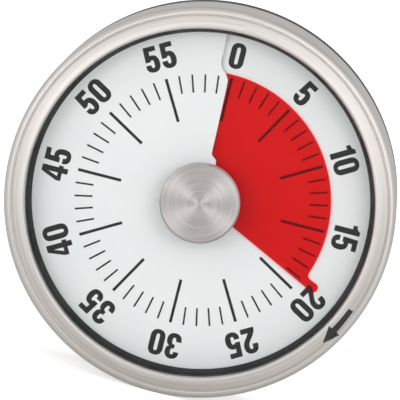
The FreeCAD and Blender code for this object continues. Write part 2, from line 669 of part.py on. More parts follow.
def movement_plate(label, low, centre_bore):
    """Plate with a bore for each arbor and a bay for the bell."""
    plate = new_body(label)
    sketch = new_sketch(plate, "outline", height=low)
    circles(sketch, [("0", "0")], plate_radius)
    circles(sketch, [("0", "0")], centre_bore)
    circles(sketch, staff_places, f"{own('staff_pivot')} + {own('fit_gap')}")
    circles(sketch, pillar_places, f"{own('staff_radius')} + {own('press_gap')}")
    pad(plate, sketch, own("plate_thick"))
    bay = new_sketch(plate, "bell_bay", height=low)
    circles(bay, [(bell_distance, "0")], f"{bell_radius} + {own('bay_gap')}")
    pocket(plate, bay, own("plate_thick"), "bell_bay")
    scallops = new_sketch(plate, "post_scallops", height=low)
    circles(scallops, centres(case_ring, CASE_ANGLES), f"{own('case_post')} + {own('post_clear')}")
    pocket(plate, scallops, own("plate_thick"), "post_scallops")
    return plate


movement_rear_plate = movement_plate(
    "movement_rear_plate", rear_plate_low, f"{own('pivot_radius')} + {own('fit_gap')}")
movement_front_plate = movement_plate(
    "movement_front_plate", front_plate_low, f"{own('arbor_radius')} + {own('fit_gap')}")

# The mainspring's outer end hooks on a stud of the front plate
spring_low = f"({front_plate_low} - {own('spring_height')} - {own('shoulder_gap')})"
STUD_ANGLE = 90.0
stud_place = polar(size(f"{own('spring_outer')} + {own('spring_strip')} / 2 + {own('stud_radius')} + {own('fit_gap')}"),
                   STUD_ANGLE)
stud_sketch = new_sketch(movement_front_plate, "spring_stud", height=spring_low)
circles(stud_sketch, [(f"{stud_place[0]:.6f}", f"{stud_place[1]:.6f}")], own("stud_radius"))
pad(movement_front_plate, stud_sketch, f"{front_plate_low} - {spring_low}", "spring_stud")


def spiral_strip(inner, outer, turns, strip, end_angle, steps_a_turn=20):
    """Flat strip wound from the inner to the outer radius, closing at an end angle."""
    steps = turns * steps_a_turn
    sides = []
    for side in (-0.5, 0.5):
        points = []
        for i in range(steps + 1):
            radius = inner + (outer - inner) * i / steps + side * strip
            points.append(Vector(*polar(radius, end_angle - 360.0 * turns * (1 - i / steps)), 0))
        sides.append(points)
    return Part.Face(Part.makePolygon(sides[0] + sides[1][::-1] + [sides[0][0]]))


spring_face = spiral_strip(size(own("spring_inner")), size(own("spring_outer")), SPRING_TURNS,
                           size(own("spring_strip")), STUD_ANGLE)
spring_face.translate(Vector(0, 0, size(spring_low)))
mainspring = plain("mainspring", spring_face.extrude(Vector(0, 0, size(own("spring_height")))))

pillar_shape = cylinder(own("pillar_radius"), rear_plate_top, front_plate_low)
pillar_shape = pillar_shape.fuse(cylinder(own("staff_radius"), f"{rear_plate_low} - {own('nut_height')}",
                                          front_plate_top)).removeSplitter()
plate_pillars = plain("plate_pillars", at_places(pillar_shape, PILLARS))


def nut_shape():
    low = size(rear_plate_low) - size(own("nut_height"))
    corners = [Vector(*polar(size(own("nut_radius")), 60 * i), low) for i in range(7)]
    nut = Part.Face(Part.makePolygon(corners)).extrude(Vector(0, 0, size(own("nut_height"))))
    return nut.cut(cylinder(f"{own('staff_radius')} + {own('press_gap')}", "0", plate_top))


pillar_nuts = plain("pillar_nuts", at_places(nut_shape(), PILLARS))


def toothed_face(teeth, root, tip, root_share, tip_share, phase):
    """Flat outline of a wheel, with one tooth centred on the phase angle."""
    points = []
    for i in range(teeth):
        middle = phase + 360.0 * i / teeth
        for radius, share in ((root, -root_share), (tip, -tip_share), (tip, tip_share), (root, root_share)):
            points.append(Vector(*polar(radius, middle + 360.0 / teeth * share / 2), 0))
    return Part.Face(Part.makePolygon(points + points[:1]))


def wheel_shape(teeth, module, low, bore, phase, windows=0):
    """Wheel with crossed-out windows and a collet, from a tooth count and a module."""
    pitch = module * teeth / 2
    face = toothed_face(teeth, pitch - DEDENDUM * module, pitch + ADDENDUM * module, *WHEEL_SHARES, phase)
    face.translate(Vector(0, 0, size(low)))
    wheel = face.extrude(Vector(0, 0, size(own("wheel_thick"))))
    for i in range(windows):
        middle = polar(pitch * 0.58, phase + 360.0 * (i + 0.5) / windows)
        wheel = wheel.cut(Part.makeCylinder(pitch * 0.24, size(lens_top), Vector(middle[0], middle[1], 0)))
    return wheel.cut(cylinder(bore, "0", lens_top))


def pinion_shape(leaves, module, low, bore, phase):
    """Pinion a little longer than the wheel that drives it."""
    pitch = module * leaves / 2
    face = toothed_face(leaves, pitch - DEDENDUM * module, pitch + ADDENDUM * 0.8 * module, *LEAF_SHARES, phase)
    extra = size(own("pinion_extra"))
    face.translate(Vector(0, 0, size(low) - extra))
    pinion = face.extrude(Vector(0, 0, size(own("wheel_thick")) + 2 * extra))
    return pinion.cut(cylinder(bore, "0", lens_top))


def staff_shape(top=front_plate_top, radius=own("staff_radius")):
    """Small arbor with a pivot in each plate."""
    gap = own("shoulder_gap")
    body = cylinder(radius, f"{rear_plate_top} + {gap}", f"{front_plate_low} - {gap}")
    return body.fuse(cylinder(own("staff_pivot"), rear_plate_low, top)).removeSplitter()


staff_bore = f"({own('staff_radius')} + {own('press_gap')})"
main_module = size(own("main_module"))
second_module = size(own("second_module"))
third_module = size(own("third_module"))

main_wheel = plain("main_wheel", wheel_shape(
    MAIN_TEETH, main_module, level[0], bearing_bore, SECOND_DIRECTION, windows=5))
second_arbor = plain("second_arbor", staff_shape(), SECOND)
second_pinion = plain("second_pinion", pinion_shape(
    SECOND_LEAVES, main_module, level[0], staff_bore, SECOND_DIRECTION + 180 + 180 / SECOND_LEAVES), SECOND)
second_wheel = plain("second_wheel", wheel_shape(
    SECOND_TEETH, second_module, level[1], staff_bore, THIRD_DIRECTION, windows=4), SECOND)
third_arbor = plain("third_arbor", staff_shape(), THIRD)
third_pinion = plain("third_pinion", pinion_shape(
    THIRD_LEAVES, second_module, level[1], staff_bore, THIRD_DIRECTION + 180 + 180 / THIRD_LEAVES), THIRD)
third_wheel = plain("third_wheel", wheel_shape(
    THIRD_TEETH, third_module, level[2], staff_bore, ESCAPE_DIRECTION, windows=3), THIRD)
escape_arbor = plain("escape_arbor", staff_shape(), ESCAPE)
escape_pinion = plain("escape_pinion", pinion_shape(
    ESCAPE_LEAVES, third_module, level[2], staff_bore, ESCAPE_DIRECTION + 180 + 180 / ESCAPE_LEAVES), ESCAPE)

# The escape wheel has a space facing the balance, and pins that swing into its spaces
escape_face = toothed_face(ESCAPE_TEETH, size(own("escape_root")), size(own("escape_tip")), *ESCAPE_SHARES,
                           BALANCE_DIRECTION + 180 / ESCAPE_TEETH)
escape_face.translate(Vector(0, 0, size(level[0])))
escape_shape = escape_face.extrude(Vector(0, 0, size(own("wheel_thick"))))
escape_wheel = plain("escape_wheel", escape_shape.cut(cylinder(staff_bore, "0", lens_top)), ESCAPE)

PIN_ANGLE = 48.0


def lever_bar(end, width, low, thick):
    """Flat bar from the axis to an end point, with a rounded end."""
    along = Vector(end[0], end[1], 0)
    across = Vector(-along.y, along.x, 0).normalize() * width / 2
    base, tip = Vector(0, 0, low), Vector(end[0], end[1], low)
    corners = [base - across, tip - across, tip + across, base + across, base - across]
    bar = Part.Face(Part.makePolygon(corners)).extrude(Vector(0, 0, thick))
    return bar.fuse(Part.makeCylinder(width / 2, thick, tip))


def pallet_shape():
    """Lever with an arm to each pin, drawn about the balance's own axis."""
    pin_circle = size(f"{own('escape_tip')} + {own('pin_gap')} + {own('pin_radius')}")
    pin = (pin_circle * math.sin(math.radians(PIN_ANGLE)),
           size(own("balance_distance")) - pin_circle * math.cos(math.radians(PIN_ANGLE)))
    low = size(f"{level[0]} + {own('wheel_thick')} + {own('lever_lift')}")
    thick, half = size(own("lever_thick")), size(own("lever_half"))
    reach = size(f"{own('wheel_thick')} + {own('lever_lift')}")
    lever = Part.makeCylinder(size(own("lever_blank")), thick, Vector(0, 0, low))
    for side in (-1, 1):
        end = Vector(side * pin[0], pin[1], low)
        lever = lever.fuse(lever_bar((end.x, end.y), 2 * half, low, thick))
        lever = lever.fuse(Part.makeCylinder(size(own("pin_radius")), reach, end - Vector(0, 0, reach)))
    return lever.cut(cylinder(staff_bore, "0", lens_top)).removeSplitter()


def balance_shape():
    """Rim with one crossbar and a hub, drawn about the balance's own axis."""
    low = level[2]
    high = f"({level[2]} + {own('wheel_thick')})"
    rim = cylinder(own("rim_outer"), low, high).cut(cylinder(own("rim_inner"), low, high))
    reach = size(f"({own('rim_inner')} + {own('rim_outer')}) / 2")
    bar = size(own("rim_bar"))
    crossbar = Part.makeBox(2 * reach, bar, size(high) - size(low), Vector(-reach, -bar / 2, size(low)))
    wheel = rim.fuse(crossbar).fuse(cylinder(own("rim_hub"), low, high))
    return wheel.cut(cylinder(staff_bore, low, high)).removeSplitter()


balance_arbor = plain("balance_arbor", staff_shape(), BALANCE)
pallet_lever = plain("pallet_lever", pallet_shape(), BALANCE)
balance_wheel = plain("balance_wheel", balance_shape(), BALANCE)

# The bell stands on a post in the plates' bay, and the hammer hangs beside its rim
bell_low = f"({own('back_wall')} + {own('plate_foot')} / 2)"
bell_top = f"({bell_low} + {own('bell_height')})"
crown_under = f"({bell_top} - {own('bell_wall')})"
bell_inner = f"({bell_radius} - {own('bell_wall')})"
bell = turned("bell", [
    (bell_radius, bell_low),
    (bell_radius, f"{bell_top} - {own('crown_round')}"),
    (f"{bell_radius} - {own('crown_round')}", bell_top, f"-{own('crown_round')}"),
    (clearance_bore, bell_top),
    (clearance_bore, crown_under),
    (f"{bell_radius} - {own('crown_round')}", crown_under),
    (bell_inner, f"{bell_top} - {own('crown_round')}", f"{own('crown_round')} - {own('bell_wall')}"),
    (bell_inner, bell_low),
], BELL)
bell_post = turned("bell_post", [
    ("0", own("back_wall")),
    (own("post_radius"), own("back_wall")),
    (own("post_radius"), crown_under),
    (own("screw_radius"), crown_under),
    (own("screw_radius"), f"{bell_top} + {own('case_head_height')}"),
    ("0", f"{bell_top} + {own('case_head_height')}"),
], BELL)
bell_nut = turned("bell_nut", [
    (clearance_bore, bell_top),
    (own("post_radius"), bell_top),
    (own("post_radius"), f"{bell_top} + {own('case_head_height')}"),
    (clearance_bore, f"{bell_top} + {own('case_head_height')}"),
], BELL)

hammer_top = f"({cam_low} + {own('cam_thick')} + {own('shoulder_gap')})"
to_centre = math.degrees(math.atan2(-HAMMER[1], -HAMMER[0]))


# The hammer's head lies on the line from the bell towards the hammer's axis, turned aside
bell_gap = size(f"{bell_radius} + {own('hammer_radius')} + {own('hammer_gap')}")
head_world = away(BELL, bell_gap, 100.0)
head_place = (head_world[0] - HAMMER[0], head_world[1] - HAMMER[1])
tail_length = size(f"{own('hammer_distance')} - {own('cam_radius')} - {own('tail_gap')} - {own('tail_width')} / 2")
hammer_low = size(rear_plate_top) + size(own("rotor_gap"))


def hammer_lever_shape():
    arm_low = hammer_low + size(own("hammer_height"))
    boss = Part.makeCylinder(size(own("lever_blank")), size(own("cam_thick")), Vector(0, 0, arm_low))
    arm = lever_bar(head_place, size(own("hammer_arm")), arm_low, size(own("arm_thick")))
    return boss.fuse(arm).cut(cylinder(staff_bore, "0", lens_top)).removeSplitter()


def hammer_tail_shape():
    low, thick = size(cam_low), size(own("cam_thick"))
    boss = Part.makeCylinder(size(own("rim_hub")), thick, Vector(0, 0, low))
    tail = lever_bar(polar(tail_length, to_centre), size(own("tail_width")), low, thick)
    bore = cylinder(f"{own('staff_pivot')} + {own('press_gap')}", "0", lens_top)
    return boss.fuse(tail).cut(bore).removeSplitter()


hammer_arbor = plain("hammer_arbor", staff_shape(hammer_top), HAMMER)
hammer_lever = plain("hammer_lever", hammer_lever_shape(), HAMMER)
hammer_tail = plain("hammer_tail", hammer_tail_shape(), HAMMER)
hammer_head_shape = Part.makeCylinder(size(own("hammer_radius")), size(own("hammer_height")),
                                      Vector(head_place[0], head_place[1], hammer_low))
hammer_head = plain("hammer_head", hammer_head_shape, HAMMER)

PIECES = [
    bezel_ring, bezel_sleeve, lens, lens_retainer, knob_core, knob_cap, drive_hub, centre_screw,
    main_arbor, trip_cam, rear_housing, magnets, case_screws, dial_carrier, dial_sheet, red_film,
    movement_rear_plate, movement_front_plate, mainspring, plate_pillars, pillar_nuts,
    main_wheel, second_arbor, second_pinion, second_wheel, third_arbor, third_pinion, third_wheel,
    escape_arbor, escape_pinion, escape_wheel, balance_arbor, pallet_lever, balance_wheel,
    bell, bell_post, bell_nut, hammer_arbor, hammer_lever, hammer_tail, hammer_head,
]

doc.recompute()
for item in doc.Objects:
    if "Invalid" in item.State or "Error" in item.State:
        raise RuntimeError(f"{item.Name} failed: {item.State}")
for piece in PIECES:
    if piece.Shape.isNull() or not piece.Shape.isValid() or piece.Shape.Volume <= 0:
        raise RuntimeError(f"{piece.Label} has no valid solid")

os.makedirs("parts", exist_ok=True)
for piece in PIECES:
    piece.Shape.exportStep(os.path.join("parts", f"{piece.Label}.step"))
print(f"{len(PIECES)} pieces, overall depth {size(lip_top):.2f}, dial to lip {size(lip_top) - size(dial_middle):.2f}")
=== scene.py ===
import math

import bmesh
import bpy
from bpy.props import FloatProperty, FloatVectorProperty, IntProperty, PointerProperty
from mathutils import Matrix, Vector


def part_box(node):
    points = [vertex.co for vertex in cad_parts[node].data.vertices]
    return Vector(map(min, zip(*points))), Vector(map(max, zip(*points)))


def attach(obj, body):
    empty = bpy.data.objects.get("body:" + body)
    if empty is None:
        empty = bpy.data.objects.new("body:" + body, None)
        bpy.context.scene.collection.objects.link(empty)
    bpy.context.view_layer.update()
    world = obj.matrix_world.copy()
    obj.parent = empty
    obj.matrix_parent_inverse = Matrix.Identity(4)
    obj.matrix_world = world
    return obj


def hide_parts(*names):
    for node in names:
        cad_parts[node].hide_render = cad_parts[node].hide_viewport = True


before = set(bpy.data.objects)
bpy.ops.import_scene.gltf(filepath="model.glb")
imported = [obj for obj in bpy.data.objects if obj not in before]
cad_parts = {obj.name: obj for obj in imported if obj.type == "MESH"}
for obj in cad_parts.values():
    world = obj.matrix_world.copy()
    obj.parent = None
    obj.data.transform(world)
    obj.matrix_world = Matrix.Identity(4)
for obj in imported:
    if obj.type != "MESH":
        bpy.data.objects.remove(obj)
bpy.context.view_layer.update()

bl_info = {
    "name": "Countdown timer",
    "version": (1, 0, 0),
    "blender": (4, 5, 0),
    "location": "View3D > Sidebar > Timer",
    "description": "Steel ring, knob, spiral dial, red film and printed marks of a wind-up timer",
    "category": "Add Mesh",
}

MM = 0.001
# One unit of a turned piece's second texture coordinate, in millimetres of its profile
PROFILE_UNIT = 10.0


def mm(metres):
    """Millimetres from metres."""
    return metres / MM


def linear(colour):
    """Linear colour from an sRGB hex word."""
    parts = [int(colour[i:i + 2], 16) / 255 for i in (1, 3, 5)]
    return tuple(p / 12.92 if p <= 0.04045 else ((p + 0.055) / 1.055) ** 2.4 for p in parts) + (1.0,)


def length(name, description, millimetres):
    """Length property, given in millimetres and kept in metres."""
    return FloatProperty(name=name, description=description, default=millimetres * MM, unit="LENGTH",
                         precision=5)


def reach(name, description, metres):
    """Length property of the stage, given and kept in metres."""
    return FloatProperty(name=name, description=description, default=metres, unit="LENGTH")


def turn(name, description, degrees):
    """Angle property, given in degrees and kept in radians."""
    return FloatProperty(name=name, description=description, default=math.radians(degrees), unit="ROTATION")


def colour(name, description, word):
    """Colour property, given as an sRGB hex word and kept linear."""
    return FloatVectorProperty(name=name, description=description, default=linear(word), size=4, min=0.0,
                               max=1.0, subtype="COLOR")


class TimerRing(bpy.types.PropertyGroup):
    """Sizes of the spun steel ring and its arrow."""
    sheet: length("Sheet", "Thickness of the steel", 0.6)
    lip_radius: length("Lip radius", "Opening of the steel lip", 35.65)
    lip_round: length("Lip round", "Round on the steel lip", 0.5)
    lip_return: length("Lip return", "Depth of the turned-in edge", 1.5)
    face_fall: length("Face fall", "Fall of the face from its lip to its bead", 0.75)
    crown: length("Crown", "Rise in the middle of the face", 0.07)
    bead: length("Bead", "Round of the outer bead", 1.3)
    groove: length("Groove", "Width of the fine groove inside the bead", 0.4)
    groove_depth: length("Groove depth", "Depth of the fine groove", 0.2)
    rear_edge: length("Rear edge", "Round on the rear edge", 0.15)
    segments: IntProperty(name="Segments", description="Steps round the ring", default=288)
    ink: length("Ink", "Thickness of the arrow's print", 0.03)
    arrow_start: turn("Arrow start", "Dial angle of the arrow's tail", 110.95)
    arrow_neck: turn("Arrow neck", "Dial angle of the arrow's barbs", 119.15)
    arrow_tip: turn("Arrow tip", "Dial angle of the arrow's tip", 124.45)
    arrow_inner: length("Arrow inner", "Inner radius of the arrow's shaft at its tail", 37.1)
    arrow_outer: length("Arrow outer", "Outer radius of the arrow's shaft at its tail", 38.15)
    arrow_flare: length("Arrow flare", "How much each side of the shaft widens towards the barbs", 0.1)
    barb_inner: length("Barb inner", "Radius of the inner barb", 36.2)
    barb_outer: length("Barb outer", "Radius of the outer barb", 39.1)
    point_inner: length("Point inner", "Inner radius of the blunt point", 37.88)
    point_outer: length("Point outer", "Outer radius of the blunt point", 37.92)


class TimerKnob(bpy.types.PropertyGroup):
    """Sizes of the turned steel cap."""
    wall: length("Wall", "Wall of the cap", 0.6)
    chamfer: length("Chamfer", "Chamfer of the front edge", 0.35)
    edge_break: length("Edge break", "How far the chamfer's edges are broken", 0.02)
    rings: IntProperty(name="Rings", description="Steps from the middle to the chamfer", default=24)
    segments: IntProperty(name="Segments", description="Steps round the cap", default=192)


class TimerLens(bpy.types.PropertyGroup):
    """Sizes of the clear lens."""
    bore: length("Bore", "Hole in the middle of the lens", 1.25)
    edge: length("Edge", "Bevel on the rims", 0.12)
    segments: IntProperty(name="Segments", description="Steps round the lens", default=192)


class TimerDial(bpy.types.PropertyGroup):
    """Sizes of the spiral dial sheet and of its print."""
    thickness: length("Thickness", "Thickness of the dial sheet", 0.3)
    pitch: length("Pitch", "Rise of the sheet in one turn", 1.1)
    start: turn("Start", "Dial angle of the sheet's lower end", -5.5)
    ink: length("Ink", "Thickness of the print", 0.02)
    tick_outer: length("Tick outer", "Outer end of the ticks", 25.9)
    minor_inner: length("Minor inner", "Inner end of the minute ticks", 22.2)
    major_inner: length("Major inner", "Inner end of the five minute ticks", 16.8)
    minor_width: length("Minor width", "Width of the minute ticks", 0.36)
    major_width: length("Major width", "Width of the five minute ticks", 0.6)
    number_radius: length("Number radius", "Middle of the numbers", 30.5)


class TimerFilm(bpy.types.PropertyGroup):
    """Sizes of the red film and its pointer."""
    thickness: length("Thickness", "Thickness of the film", 0.15)
    bore: length("Bore", "Hole in the middle of the film", 3.6)
    radius: length("Radius", "Outer radius of the film", 26.6)
    open_angle: turn("Open angle", "Open angle of the film's slit", 1.5)
    lead: turn("Lead", "Dial angle of the film's leading edge", 115.5)
    pointer_back: turn("Pointer back", "Dial angle of the pointer's back edge", 111.7)
    pointer_tip: length("Pointer tip", "Radius of the pointer's tip", 30.0)
    pointer_fillet: length("Pointer fillet", "Fillet between the film and its pointer", 1.0)
    rim: length("Rim", "Outer band of the film that the pointer grows from", 0.6)


class TimerStage(bpy.types.PropertyGroup):
    """Camera, lamps and floor."""
    distance: reach("Distance", "Camera to the front face", 1.0)
    aside: reach("Aside", "Camera right of the middle", 0.02)
    above: reach("Above", "Camera above the middle", 0.112)
    roll: turn("Roll", "Turn of the zero mark in the picture", 14.1)
    focal: FloatProperty(name="Focal length", description="Focal length in millimetres", default=445.0)
    aim: length("Aim", "Aim above the front circle's middle", 0.53)
    front: length("Front", "Height of the point that the camera and the lamps face", 25.0)
    lamp_distance: reach("Lamp distance", "Lamps to the front", 1.2)
    lamp_power: FloatProperty(name="Lamp power", description="Power of a lamp of strength 1", default=1.1,
                              unit="POWER")
    floor_reach: reach("Floor reach", "Half the floor's side", 9.0)


class TimerColours(bpy.types.PropertyGroup):
    """Deep and light tone of each finish that a user would change."""
    film: colour("Film", "Deep tone of the film", "#de1a28")
    film_light: colour("Film, light", "Light tone of the film", "#e4242f")
    film_glow: colour("Film, glow", "Colour that the film gives to what shows through", "#fe8d93")
    dial: colour("Dial", "Deep tone of the dial", "#efeff0")
    dial_light: colour("Dial, light", "Light tone of the dial", "#f3f3f3")
    dial_ink: colour("Dial ink", "Deep tone of the ticks and numbers", "#1e1e1f")
    dial_ink_light: colour("Dial ink, light", "Light tone of the ticks and numbers", "#29292a")
    ring_ink: colour("Ring ink", "Deep tone of the arrow", "#101011")
    ring_ink_light: colour("Ring ink, light", "Light tone of the arrow", "#1a1a1b")
    ring: colour("Ring", "Deep tone of the ring's steel", "#b9b5b2")
    ring_light: colour("Ring, light", "Light tone of the ring's steel", "#e8e4e1")
    knob: colour("Knob", "Deep tone of the knob's steel", "#aaa6a5")
    knob_light: colour("Knob, light", "Light tone of the knob's steel", "#d8d4d3")
    case: colour("Case", "Deep tone of the case", "#1c1c1d")
    case_light: colour("Case, light", "Light tone of the case", "#262627")


def face(x, y, height):
    """Point in the frame from face coordinates in millimetres: right, up and towards the viewer."""
    return Vector((x, -height, y)) * MM


def on_dial(radius, angle, height):
    """Point in the frame from a radius, a dial angle clockwise from the zero mark, and a height."""
    spin = math.radians(angle)
    return face(radius * math.sin(spin), radius * math.cos(spin), height)


def heights(node):
    """Lowest and highest height of a CAD node above the back face, in millimetres."""
    low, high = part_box(node)
    return mm(-high.y), mm(-low.y)


def blend_through(pairs, x):
    """Value at x on straight lines between pairs."""
    for (x0, y0), (x1, y1) in zip(pairs, pairs[1:]):
        if x <= x1:
            return y0 + (y1 - y0) * max(x - x0, 0.0) / (x1 - x0)
    return pairs[-1][1]


def steps_between(first, last, count):
    """Values from first to last, in count even steps."""
    return [first + (last - first) * i / count for i in range(count + 1)]


def arc(cx, cy, radius, start, end, count):
    """Points on an arc about (cx, cy), from one angle in degrees to another."""
    return [(cx + radius * math.cos(math.radians(a)), cy + radius * math.sin(math.radians(a)))
            for a in steps_between(start, end, count)]


def new_piece(name, points, faces, material, body, replaced=(), uvs=None, sharp=35.0):
    """Object from closed mesh data, with its finish, the nodes it stands for and its body."""
    volume = sum(points[f[0]].dot(points[f[i]].cross(points[f[i + 1]]))
                 for f in faces for i in range(1, len(f) - 1))
    if volume < 0:
        faces = [corners[::-1] for corners in faces]
        uvs = uvs and [corners[::-1] for corners in uvs]
    mesh = bpy.data.meshes.new(name)
    mesh.from_pydata(points, [], faces)
    if uvs:
        layer = mesh.uv_layers.new(name="UVMap")
        layer.data.foreach_set("uv", [value for corners in uvs for corner in corners for value in corner])
    mesh.shade_smooth()
    mesh.set_sharp_from_angle(angle=math.radians(sharp))
    mesh.materials.append(material)
    piece = bpy.data.objects.new(name, mesh)
    bpy.context.scene.collection.objects.link(piece)
    if replaced:
        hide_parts(*replaced)
    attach(piece, body)
    return piece


def lathe(profile, segments, closed=True):
    """Points, faces and texture places of a profile of (radius, height) turned about the dial's axis."""
    points, rings = [], []
    for radius, height in profile:
        count = segments if radius > 1e-6 else 1
        rings.append((len(points), count))
        points += [on_dial(radius, 360 * i / segments, height) for i in range(count)]
    along = [0.0]
    for a, b in zip(profile, profile[1:] + profile[:1]):
        along.append(along[-1] + math.dist(a, b) / PROFILE_UNIT)
    faces, uvs = [], []
    for k in range(len(profile) if closed else len(profile) - 1):
        (here, count), (after, many) = rings[k], rings[(k + 1) % len(rings)]
        for i in range(segments):
            j = (i + 1) % segments
            corners = [(here + i % count, i, k), (here + j % count, i + 1, k),
                       (after + j % many, i + 1, k + 1), (after + i % many, i, k + 1)]
            kept = [c for n, c in enumerate(corners) if c[0] not in [other[0] for other in corners[:n]]]
            faces.append([c[0] for c in kept])
            uvs.append([(c[1] / segments, along[c[2]]) for c in kept])
    return points, faces, uvs


def sheet_solid(rows, thickness):
    """Points and faces of a closed sheet, from rows of points on its front and a thickness in millimetres."""
    wide, deep = len(rows[0]), len(rows)
    front = [point for row in rows for point in row]
    half = len(front)
    points = front + [point + Vector((0, thickness * MM, 0)) for point in front]
    faces = []
    for r in range(deep - 1):
        for c in range(wide - 1):
            a = r * wide + c
            quad = [a, a + 1, a + wide + 1, a + wide]
            faces += [quad, [corner + half for corner in quad[::-1]]]
    border = list(range(wide)) + [wide * r + wide - 1 for r in range(1, deep)]
    border += [(deep - 1) * wide + c for c in range(wide - 2, -1, -1)]
    border += [wide * r for r in range(deep - 2, 0, -1)]
    for a, b in zip(border, border[1:] + border[:1]):
        faces.append([b, a, a + half, b + half])
    return points, faces


MATH = "ShaderNodeMath"


def put(tree, kind, sockets=None, stops=(), **settings):
    """Add a node, set it up, and join or fill its inputs.

    A node that is given for an input stands for its first output. Stops are a ramp's places and colours.
    """
    made = tree.nodes.new(kind)
    for word, value in settings.items():
        setattr(made, word, value)
    for key, value in (sockets or {}).items():
        if isinstance(value, bpy.types.Node):
            value = value.outputs[0]
        if isinstance(value, bpy.types.NodeSocket):
            tree.links.new(value, made.inputs[key])
        else:
            made.inputs[key].default_value = value
    for n, (place, tone) in enumerate(stops):
        # A new ramp has two stops already
        stop = made.color_ramp.elements[n] if n < 2 else made.color_ramp.elements.new(place)
        stop.position = place
        stop.color = tone
    return made


def new_material(name):
    """Empty node material and its tree."""
    material = bpy.data.materials.new(name)
    material.use_nodes = True
    material.node_tree.nodes.clear()
    return material, material.node_tree


# Most of a noise texture's values lie between these two
NOISE_ENDS = (0.3, 0.7)


def grain(tree, coordinate, scale, detail=2.0, stretch=(1.0, 1.0, 1.0)):
    """Noise at a coordinate, stretched for a direction."""
    mapped = put(tree, "ShaderNodeMapping", {"Vector": coordinate, "Scale": stretch})
    return put(tree, "ShaderNodeTexNoise", {"Vector": mapped, "Scale": scale, "Detail": detail})


def grains(millimetres):
    """Noise scale whose grains are this wide in object coordinates, which are metres."""
    return 1 / (millimetres * MM)


def patterned(tree, tones, broad, fine, roughness, relief=0.0, settings=None):
    """Shader whose colour follows a broad pattern, and whose roughness and relief follow a fine one."""
    low, high = NOISE_ENDS
    smooth, rough = roughness
    sockets = {
        "Base Color": put(tree, "ShaderNodeValToRGB", {"Fac": broad}, zip(NOISE_ENDS, tones)),
        "Roughness": put(tree, "ShaderNodeMapRange", {"Value": fine, 1: low, 2: high, 3: smooth, 4: rough}),
    }
    if relief:
        sockets["Normal"] = put(tree, "ShaderNodeBump", {"Height": fine, "Distance": relief * MM})
    return put(tree, "ShaderNodeBsdfPrincipled", {**sockets, **(settings or {})})


def moulded_plastic(name, tones, roughness, relief, gloss):
    """Injection-moulded ABS: an even satin skin, with faint flow mottling and the mould's own texture."""
    material, tree = new_material(name)
    place = put(tree, "ShaderNodeTexCoord").outputs["Object"]
    flow = grain(tree, place, grains(7.14), 3.0)
    # A spark-eroded mould leaves pits near 0.05 mm. They are drawn wider, so that they show
    spark = grain(tree, place, grains(0.1923))
    shader = patterned(tree, tones, flow, spark, (roughness - 0.05, roughness + 0.07), relief,
                       {"Specular IOR Level": gloss})
    put(tree, "ShaderNodeOutputMaterial", {"Surface": shader})
    return material


def plain_metal(name, tones, roughness, relief):
    """Stamped, ground or plated metal: fine tool marks, and a soft change of tone over the surface."""
    material, tree = new_material(name)
    place = put(tree, "ShaderNodeTexCoord").outputs["Object"]
    tone = grain(tree, place, grains(4.545), 3.0)
    # Tool marks are near 0.1 mm apart. They are drawn wider, so that they show
    tool = grain(tree, place, grains(0.3846), 3.0, (1.0, 0.12, 1.0))
    shader = patterned(tree, tones, tone, tool, (roughness - 0.06, roughness + 0.08), relief,
                       {"Metallic": 1.0})
    put(tree, "ShaderNodeOutputMaterial", {"Surface": shader})
    return material


def turned_steel(name, tones, roughness, line_gap, relief, anisotropy):
    """Stainless steel brushed or turned round its axis: fine lines that the gloss spreads across."""
    material, tree = new_material(name)
    place = put(tree, "ShaderNodeTexCoord").outputs["UV"]
    # Abrasive leaves lines near 0.05 mm apart. They are drawn line_gap apart, so that they show, and each
    # runs round for a seventh of a turn, with broader bands of a third of a turn among them
    lines = PROFILE_UNIT / line_gap
    brush = grain(tree, place, 1.0, 3.0, (7.0, lines, 1.0))
    coarse = grain(tree, place, 1.0, 2.0, (3.0, lines * 0.22, 1.0))
    total = put(tree, MATH, {0: brush, 1: coarse}, operation="ADD")
    both = put(tree, MATH, {0: total, 1: 0.5}, operation="MULTIPLY")
    shader = patterned(tree, tones, both, both, (roughness - 0.05, roughness + 0.06), relief, {
        "Metallic": 1.0,
        "Anisotropic": anisotropy,
        # A quarter turn lays the streaks of gloss across the lines
        "Anisotropic Rotation": 0.25,
        "Tangent": put(tree, "ShaderNodeTangent", direction_type="UV_MAP", uv_map="UVMap"),
    })
    put(tree, "ShaderNodeOutputMaterial", {"Surface": shader})
    return material


def printed_sheet(tones):
    """Extruded white polystyrene sheet: a clean satin face, very slightly uneven."""
    material, tree = new_material("extruded_white_polystyrene")
    place = put(tree, "ShaderNodeTexCoord").outputs["Object"]
    cloud = grain(tree, place, grains(16.667), 3.0)
    # The rollers' matt grain is near 0.1 mm. It is drawn wider, so that it shows
    fine = grain(tree, place, grains(0.2381))
    shader = patterned(tree, tones, cloud, fine, (0.46, 0.56), 0.002)
    put(tree, "ShaderNodeOutputMaterial", {"Surface": shader})
    return material


def printed_ink(name, tones, roughness, gloss):
    """Screen-printed ink: near black, and a little uneven in cover where it went through the mesh."""
    material, tree = new_material(name)
    place = put(tree, "ShaderNodeTexCoord").outputs["Object"]
    cover = grain(tree, place, grains(1.111), 3.0)
    shader = patterned(tree, tones, cover, cover, (roughness - 0.06, roughness + 0.06),
                       settings={"Specular IOR Level": gloss})
    put(tree, "ShaderNodeOutputMaterial", {"Surface": shader})
    return material


